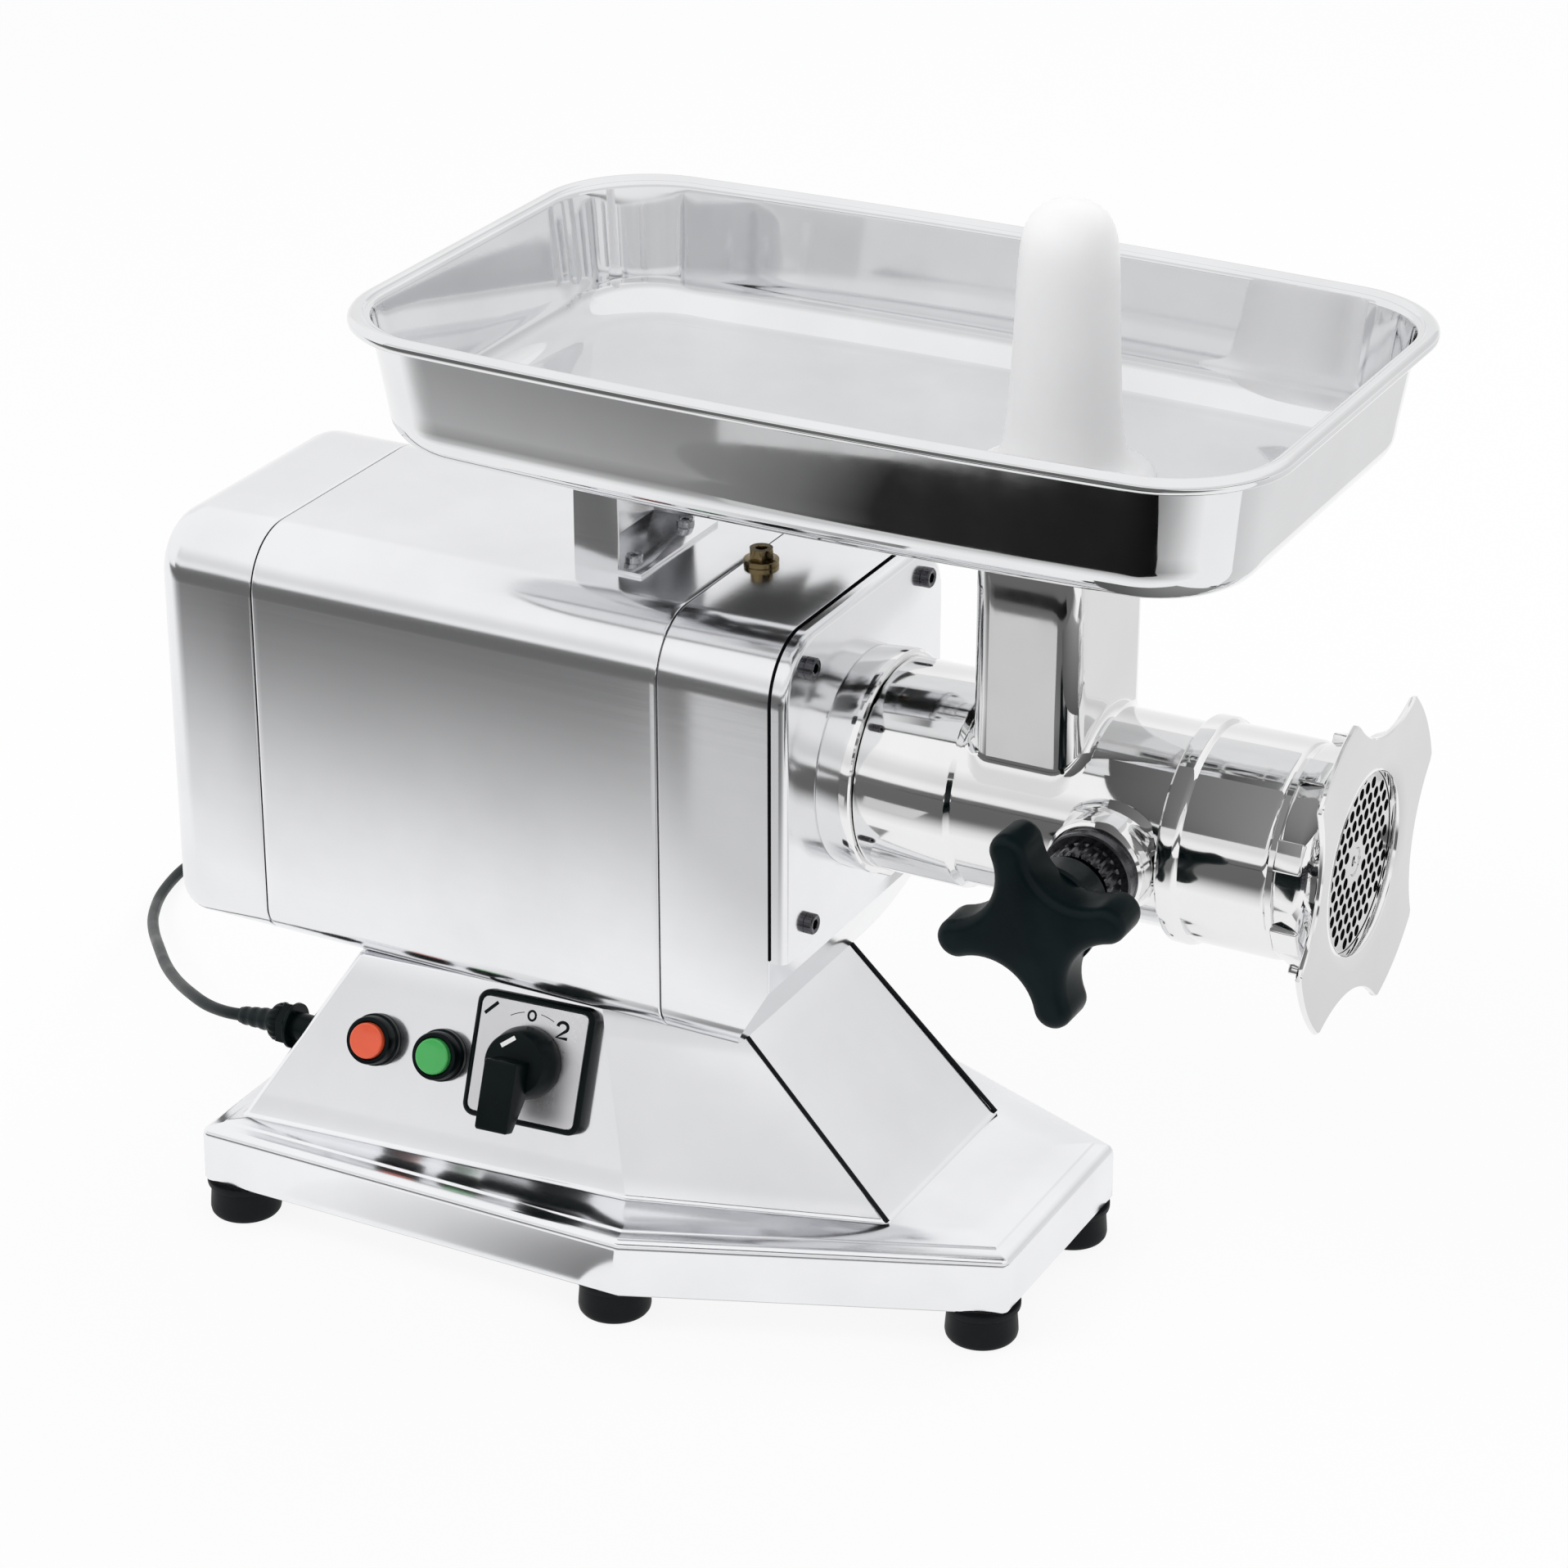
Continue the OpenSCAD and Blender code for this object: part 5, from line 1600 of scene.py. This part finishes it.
    def knob(self) -> bpy.types.Object:
        """Four-armed knob.

        Each arm ends in a circle of radius 10 at 42 from the middle, and a circle of radius r about a point
        at 54 between two arms touches both ends from outside, where r is the distance between the centres less 10.

        Returns:
            The knob.
        """
        tip, reach, valley = 10.0, 42.0, 54.0
        centre = np.array([valley, valley]) / math.sqrt(2)
        gap = centre - [reach, 0]
        r = float(np.linalg.norm(gap)) - tip
        lean = math.atan2(gap[1], gap[0])
        a = np.linspace(-lean, lean, 19)
        arm = np.column_stack([reach + tip * np.cos(a), tip * np.sin(a)])
        b = np.linspace(lean + math.pi, math.pi / 2 - lean + math.pi, 17)[1:-1]
        hollow = centre + r * np.column_stack([np.cos(b), np.sin(b)])
        quarter = np.concatenate([arm, hollow])
        turns = [np.array([[math.cos(q), -math.sin(q)], [math.sin(q), math.cos(q)]])
                 for q in np.radians(18) + np.arange(4) * math.pi / 2]
        loop = resampled(np.concatenate([quarter @ m.T for m in turns]), 2.0)
        at = towards_user(self.boss_x, self.knob_y, AXIS_Z)
        rise = [(4, 0), (1.6, 0.7), (0.4, 2.2), (0, 4.5), (0, 20.5), (0.5, 22.8), (1.9, 24.7), (4, 25.8), (6, 26)]
        hub = [(-24, 8.1), (-24, 19.5), (-23, 20.8), (-20, 21.4), (-6, 21.8), (-2, 23.5), (0.5, 27), (4, 27),
               (4, 8.1)]
        body = turned("hub", hub, at, 72, True)
        return join("lock_knob_star", [prism("star", partial(shrunk, loop), rise, at), body])

    def lobes(self, t: Array) -> Array:
        """Radius of the guard as a share of its tips' radius: a round hollow lies between two lobes.

        Args:
            t: angles about the axis, in radians.

        Returns:
            The share at each angle.
        """
        quarter = math.pi / 2
        off = (t - math.radians(self.dip_angle) + quarter / 2) % quarter - quarter / 2
        far = self.guard_dip + self.dip_r
        inside = np.maximum(self.dip_r ** 2 - (far * np.sin(off)) ** 2, 0.0)
        hollow = np.where(inside > 0, far * np.cos(off) - np.sqrt(inside), self.guard_r)
        return np.minimum(hollow, self.guard_r) / self.guard_r

    def nut(self) -> None:
        """Ring nut: lip, body, groove, flare, and a guard with four lobes."""
        guard, core = self.guard_r, self.snout_r
        lip = self.lip
        half = [(lip, 57.6), (lip + 0.5, 58.8), (lip + 1.6, 59.5), (251.8, 59.5), (253.2, 59), (254.2, 57.8),
                (255.2, core), (299, core), (300.8, 56.5), (301.8, 55.5), (305, 55.5), (306.4, 57.2), (308, 58),
                (318, 60),
                (325, 63), (329, 66.4), (331.6, guard - 1), (332.6, guard), (334.2, guard), (335, guard - 1.0),
                (335, 65.5), (334.6, 56), (334.2, 50), (333, 48), (331.5, 47.5), (328.35, 47.5), (328.25, 52.6),
                (lip + 5, 52.6), (lip + 5, 54.4), (lip, 54.4)]
        ring = turned("ring", half, along_x(), 192, True, on_rings(16, 19, self.lobes))
        lugs = []
        for i in range(self.lugs):
            lug = block("lug", (306.5, -8, 52), (321, 8, 62))
            soften(lug, 1.1, 30, 3)
            lug.data.transform(Matrix.Translation((0, 0, AXIS_Z * MM)) @
                               Matrix.Rotation(TAU * (i + 0.5) / self.lugs, 4, "X"))
            lugs.append(lug)
        nut = join("ring_nut_guard", [ring] + lugs)
        place(finish(nut, "polished_cast"), "nut", "ring_nut")

    def plate(self) -> None:
        """Perforated plate: holes on a staggered net between two radii, cut through a turned disc."""
        i, j = np.meshgrid(np.arange(-9, 10), np.arange(-9, 10))
        y = (i + j / 2) * self.hole_pitch
        z = j * self.hole_pitch * math.sqrt(3) / 2
        far = np.hypot(y, z)
        keep = (far < self.holes_to) & (far > self.holes_from)
        curve = bpy.data.curves.new("plate", "CURVE")
        curve.dimensions, curve.fill_mode, curve.extrude = "2D", "BOTH", 5.5 * MM
        circles = [(0.0, 0.0, self.plate_r, 128), (0.0, 0.0, self.plate_bore, 40)]
        circles += [(float(a), float(b), self.hole_r, 14) for a, b in zip(y[keep], z[keep])]
        for a, b, radius, n in circles:
            t = np.arange(n) * TAU / n
            spline = curve.splines.new("POLY")
            spline.points.add(n - 1)
            pts = np.column_stack([a + radius * np.cos(t), b + radius * np.sin(t), np.zeros(n), np.full(n, 1000.0)])
            spline.points.foreach_set("co", (pts * MM).ravel())
            spline.use_cyclic_u = True
        holder = linked("plate", curve)
        graph = bpy.context.evaluated_depsgraph_get()
        data = bpy.data.meshes.new_from_object(holder.evaluated_get(graph))
        bpy.data.objects.remove(holder)
        at = Matrix(((0, 0, 1, (self.end - 5.5) * MM), (1, 0, 0, 0), (0, 1, 0, AXIS_Z * MM), (0, 0, 0, 1)))
        data.transform(at)
        obj = linked("perforated_plate", data)
        tidy(obj, 30)
        place(finish(obj, "turned_steel"), "base", "grinder_plate")
        # Painted shade: a flat black ring just behind the plate's face stands for the dark barrel seen through the
        # holes.
        dark = turned("barrel_shade", [(self.end - 1.3, 7.9), (self.end - 1.3, 47), (self.end - 0.6, 47),
                                       (self.end - 0.6, 7.9)], along_x(), 96, True)
        place(finish(dark, "painted_shade_black"), "base")
        half = [(316.7, 0), (316.7, 7.0), (317.2, 7.5), (326.6, 7.5), (327.4, 6.6), (327.4, 3.4), (326.9, 3.0),
                (324, 3.0), (323.4, 0)]
        pin = turned("worm_pin_tip", half, along_x(), 72, wave=on_rings(6, len(half), hexagonal))
        place(finish(pin, "turned_steel"), "drive", "worm_pin")

    def build(self) -> None:
        """Makes the head."""
        self.neck()
        self.body()
        self.lock()
        self.nut()
        self.plate()


# ---------------------------------------------------------------- tray and pusher


@dataclass
class Tray:
    """Meat tray of polished sheet with a rolled rim, and the white pusher standing in its throat."""

    rear: float = -190.0
    front: float = 320.0
    half: float = 158.0
    bow: float = 9.0
    corner: float = 58.0
    rim_top: float = 544.0
    floor: float = 471.2
    throat_x: float = 162.0
    sheet: float = 1.2
    bend: float = 20.0
    collar_half: tuple[float, float] = (24.6, 38.6)
    collar_end: float = 458.3

    def outline(self, inset: float) -> Array:
        """Plan of the tray: a rounded oblong whose long sides bow outwards by a cosine of the place along them.

        Args:
            inset: distance inwards.

        Returns:
            The closed outline, shape (n, 2), with its points at the same angles for every inset.
        """
        x0, x1, h = self.rear + inset, self.front - inset, self.half - self.bow - inset
        radius = max(self.corner - 0.6 * inset, 4.0)
        middle, reach = (x0 + x1) / 2, (x1 - x0) / 2
        loop = resampled(rounded(box2(reach, h), [radius] * 4, 14), 4.0)
        share = np.clip(loop[:, 0] / reach, -1, 1)
        loop[:, 1] *= 1 + self.bow / h * np.cos(share * math.pi / 2) * np.clip(np.abs(loop[:, 1]) / h, 0, 1)
        if inset == 0:
            return loop + [middle, 0]
        first = self.outline(0) - [middle, 0]
        return at_angles(loop, np.arctan2(first[:, 1], first[:, 0])) + [middle, 0]

    def section(self) -> list[tuple[float, float]]:
        """Section of the wall, from the hidden underside over the rim to the floor.

        Returns:
            Pairs (inset, height).
        """
        t, top, bend = self.sheet, self.rim_top, self.bend
        roll = [(1.9, top - 6.6), (1.0, top - 7.0), (0.3, top - 6.2), (0.0, top - 4.8)]
        roll += [(4.2 * (1 - math.cos(a)), top - 4.2 + 4.2 * math.sin(a)) for a in np.linspace(0.1, 2.2, 12)]
        roll += [(7.2, top - 1.9), (7.6, top - 2.2), (8.4, top - 2.0), (9.2, top - 2.1), (9.9, top - 2.6),
                 (10.4, top - 3.6), (10.7, top - 5.2)]
        slope = 11 / 74
        low = self.floor + bend
        sweep = np.linspace(0.15, math.pi / 2, 9)
        wall = [(10.9 + (top - 6 - z) * slope, z) for z in np.linspace(top - 8, low, 7)]
        start = wall[-1][0]
        turn = [(start + bend * (1 - math.cos(a)) + 1.6 * math.sin(a) * slope, low - bend * math.sin(a))
                for a in sweep]
        under_wall = [(i - t, z) for i, z in wall[::-1]]
        under_turn = [(i - t * math.cos(a), z - t * math.sin(a)) for (i, z), a in zip(turn, sweep)][::-1]
        under_rim = [(9.6, top - 5.5), (7.6, top - 3.6), (4.6, top - 2.6)]
        return under_turn + under_wall + under_rim + roll + wall + turn

    def build_tray(self) -> None:
        """Tray skin, closed by a floor that blends from its outline to the throat's collar."""
        section = self.section()
        edge, under = (self.outline(section[i][0] + 0.5) for i in (-1, 0))
        centre = np.array([self.throat_x, 0])
        angle = np.arctan2(edge[:, 1], edge[:, 0] - self.throat_x)
        collar = at_angles(rounded(box2(*self.collar_half), [9] * 4, 12), angle)
        mouth = at_angles(rounded(box2(self.collar_half[0] + 3, self.collar_half[1] + 3), [11] * 4, 12), angle)
        skirt = collar * (1 + 0.25 / np.linalg.norm(collar, axis=1, keepdims=True))
        levels = [(self.outline(i), z) for i, z in section]
        levels += [(edge * share + (mouth + centre) * (1 - share), self.floor) for share in (0.75, 0.5, 0.3, 0.14)]
        levels += [(mouth + (collar - mouth) * math.sin(a) + centre, self.floor - 3 * (1 - math.cos(a)))
                   for a in np.linspace(0.0, math.pi / 2, 5)]
        levels += [(collar + centre, self.collar_end), (skirt + centre, self.collar_end)]
        low = self.floor - self.sheet
        levels += [(under * share + (skirt + centre) * (1 - share), low) for share in (0, 0.3, 0.7)]
        rings = [np.column_stack([loop, np.full(len(loop), z)]) for loop, z in levels]
        piece = Shell().add(np.array(rings), Ends.LOOP).mesh("tray_sheet")
        place(finish(piece, "mirror_sheet"), "tray_body", "tray")

    def pusher(self) -> None:
        """Turned white pusher: stem, collar and a slim flared handle."""
        profile = [(400, 0), (400, 18.6), (400.4, 19.6), (401.4, 20.8), (403, 21.5), (468, 21.5), (470.6, 22.2),
                   (471.5, 24), (471.5, 45), (472, 46.2), (473.4, 46.9), (474.6, 47), (476.2, 46.2), (478.2, 44.2),
                   (480.2, 40.6), (482.4, 36.2), (486, 33), (491, 31), (500, 29.7), (512, 28.4), (530, 27.5),
                   (555, 26.4), (580, 25.5), (592, 24.7), (599, 23.7), (605, 21.9), (610, 19.2), (613.6, 15.6),
                   (616, 11.2), (617.4, 6), (618, 0)]
        pusher = turned("pusher_white", profile, along_z(self.throat_x, 0, 0), 96)
        place(finish(pusher, "white_moulded"), "pusher_body", "pusher")

    def build(self) -> None:
        """Makes the tray and the pusher."""
        self.build_tray()
        self.pusher()


# ---------------------------------------------------------------- controls


@dataclass
class Controls:
    """Push buttons in their bezels and the rotary switch, on the sloping side panel."""

    stop_at: tuple[float, float] = (75.0, 57.0)
    start_at: tuple[float, float] = (115.5, 56.0)
    switch_at: tuple[float, float] = (169.8, 62.9)
    switch_half: float = 35.0
    lever_h: float = 36.0
    origin: tuple[float, float, float] = (-268.8, -129.3, 58.5)
    u: tuple[float, float, float] = (0.99663, 0.08202, 0.0)
    v: tuple[float, float, float] = (-0.03235, 0.39306, 0.91894)
    n: tuple[float, float, float] = (0.075377, -0.915845, 0.394393)

    def on_panel(self, at: tuple[float, float]) -> Place:
        """Frame on the panel, a by its length, b up and c outwards.

        Args:
            at: place (u, v) on the panel.

        Returns:
            The frame.
        """
        spot = np.array(self.origin) + at[0] * np.array(self.u) + at[1] * np.array(self.v)
        return Place(tuple(spot), self.u, self.v, self.n)

    def button(self, name: str, body: str, at: tuple[float, float], look: str, slot: str) -> None:
        """A button with a dished cap in a two-step bezel.

        Args:
            name: the CAD node of the button, whose bezel is named after it.
            body: the moving body.
            at: place on the panel.
            look: finish of the cap.
            slot: paint slot of the cap; not used.
        """
        spot = self.on_panel(at)
        bezel = [(-20, 10.3), (-20, 11), (0, 11), (0, 14), (0.5, 14.5), (3.2, 14.5), (4, 13.9), (4.3, 13.5),
                 (10.8, 13.3), (11.8, 12.8), (12.0, 12.0), (12.0, 11.0), (11.4, 10.3)]
        ring = turned(name + "_bezel_ring", bezel, spot, 80, True)
        place(finish(ring, "black_moulded"), "base", name.replace("button", "bezel"))
        cap = [(-19.6, 0), (-19.6, 4), (5, 4), (5, 10), (13.2, 10), (14.1, 9.7), (14.5, 9.0), (14.4, 8.2), (14.0, 4),
               (13.9, 0)]
        disc = turned(name + "_cap", cap, spot, 72)
        place(finish(disc, look), body, name)

    def rotary(self) -> None:
        """Rotary switch: frame, printed face and handle."""
        spot = self.on_panel(self.switch_at)
        half = self.switch_half

        def frame_loop(d: float) -> Array:
            """Outline of the frame, inset by d."""
            return rounded(box2(half - d, half - d), [max(7.0 - d, 1.0)] * 4, 6)

        def face_loop(d: float) -> Array:
            """Outline of the printed face, inset by d: its corners are clipped."""
            return rounded(box2(half - 3.1 - d, half - 3.1 - d), [4.0] * 4, 3)

        rim = prism("switch_frame_moulded", frame_loop,
                    [(3.2, 0), (0, 0), (0, 6.6), (0.3, 7.7), (1.0, 8.6), (1.9, 9), (2.6, 8.9), (2.95, 8.3),
                     (3.0, 7.0), (3.2, 7.0)], spot)
        place(finish(rim, "black_moulded"), "base", "switch_frame")
        face = prism("face", face_loop, [(0, 7.02), (0, 8.2), (0.4, 8.6)], spot)
        place(finish(face, "dial_plate"), "base", "switch_face")
        self.marks(spot)
        self.handle()

    def marks(self, spot: Place) -> None:
        """Printed marks of the face: a slanted stroke, 0 and 2, as thin raised ribbons.

        Args:
            spot: the frame of the face.
        """
        stroke = np.array([(-29.3, 21.9), (-22.2, 29.0)])
        t = np.linspace(0, TAU, 25)
        zero = np.column_stack([-1.4 + 2.2 * np.cos(t), 25.4 + 2.6 * np.sin(t)])
        a = np.linspace(math.pi, -0.7, 12)
        two = np.column_stack([17.5 + 3.0 * np.cos(a), 22.6 + 2.6 * np.sin(a)])
        two = np.vstack([two, [(14.4, 16.6)], [(20.9, 16.6)]])
        rings = Shell()
        for path, width in ((stroke, 1.9), (zero, 1.3), (two, 1.8)):
            rings.add(ribbon_rings(path, width, 8.45, 8.66, spot), Ends.FLAT)
        for start, end in ((103, 121), (64, 82)):
            arc = np.radians(np.linspace(start, end, 9))
            curve = np.column_stack([27.2 * np.cos(arc), 27.2 * np.sin(arc)])
            rings.add(ribbon_rings(curve, 0.4, 8.45, 8.64, spot), Ends.FLAT)
        marks = rings.mesh("switch_marks")
        place(finish(marks, "black_moulded"), "base")

    def handle(self) -> None:
        """Handle: cone hub, a raised lever across it, and a white stroke of painted highlight along the hub's top
        edge.
        """
        low = self.on_panel(self.switch_at)
        spot = Place(tuple(np.array(low.origin) + 9 * np.array(self.n)), low.a, low.b, low.c)
        hub = turned("hub", [(0.3, 0), (0.3, 19.4), (0.8, 20), (5.4, 20), (6.6, 19.6), (17.6, 17.4), (18.6, 16.8),
                             (19, 15.8), (19, 0)], spot, 96)
        side = Place(spot.origin, spot.b, spot.c, spot.a)
        h = self.lever_h
        lever = np.array([(-18, 16), (3, 16), (3, h), (-35.5, h), (-35.5, h - 9)])

        def lever_loop(d: float) -> Array:
            """Side outline of the lever, inset by d."""
            return rounded(inset_corners(lever, d), [3.0, 0.8, 1.6, 1.8, 2.0], 6)

        width = [(1.1, -9.5), (0.4, -9.2), (0, -8.4), (0, 8.4), (0.4, 9.2), (1.1, 9.5)]
        bar = prism("lever", lever_loop, width, side)
        place(finish(join("switch_knob", [hub, bar]), "black_moulded"), "switch", "switch_handle")
        # Painted highlight: a thin white ribbon on the hub's rim stands for a glint on its edge.
        line = np.array([(-8.4, 8.9), (-0.9, 14.6)])
        hub_glint = Shell().add(ribbon_rings(line, 2.4, 18.9, 19.05, spot)).mesh("hub_glint")
        place(finish(hub_glint, "glint_white"), "switch")

    def build(self) -> None:
        """Makes the controls."""
        self.button("stop_button", "stop", self.stop_at, "red_moulded", "red_plastic")
        self.button("start_button", "start", self.start_at, "green_moulded", "green_plastic")
        self.rotary()


# ---------------------------------------------------------------- the whole object


def hidden_nodes() -> None:
    """Dresses every node that keeps its own mesh, by the record's slot."""
    by_slot = {
        "steel": "machined", "polished": "mirror_sheet", "rubber": "foot_rubber", "black_rubber": "cord_rubber",
        "brass": "turned_brass", "copper": "wound_copper", "laminations": "core_steel",
        "aluminium": "cast_aluminium", "black_plastic": "black_moulded", "black_metal": "blackened_steel",
        "white_plastic": "white_moulded", "red_plastic": "red_moulded", "green_plastic": "green_moulded",
        "grey_plastic": "grey_moulded", "silver_face": "dial_plate",
    }
    for part in frame["record"]["subparts"]:
        node = frame["nodes"][part["node"]]
        if not node.hide_render:
            finish(node, by_slot[part["material_slot"]])
            LOG.info("%s: the frame's own mesh", node.name)


def main() -> None:
    """Builds the studio and every piece of the object, in order."""
    logging.basicConfig(level=logging.INFO, format="%(message)s")
    studio = Studio()
    studio.camera()
    MainsCord().build()
    Stand().build()
    Housing().build()
    Head().build()
    Tray().build()
    Controls().build()
    hidden_nodes()
    studio.build()


if __name__ == "__main__":
    main()
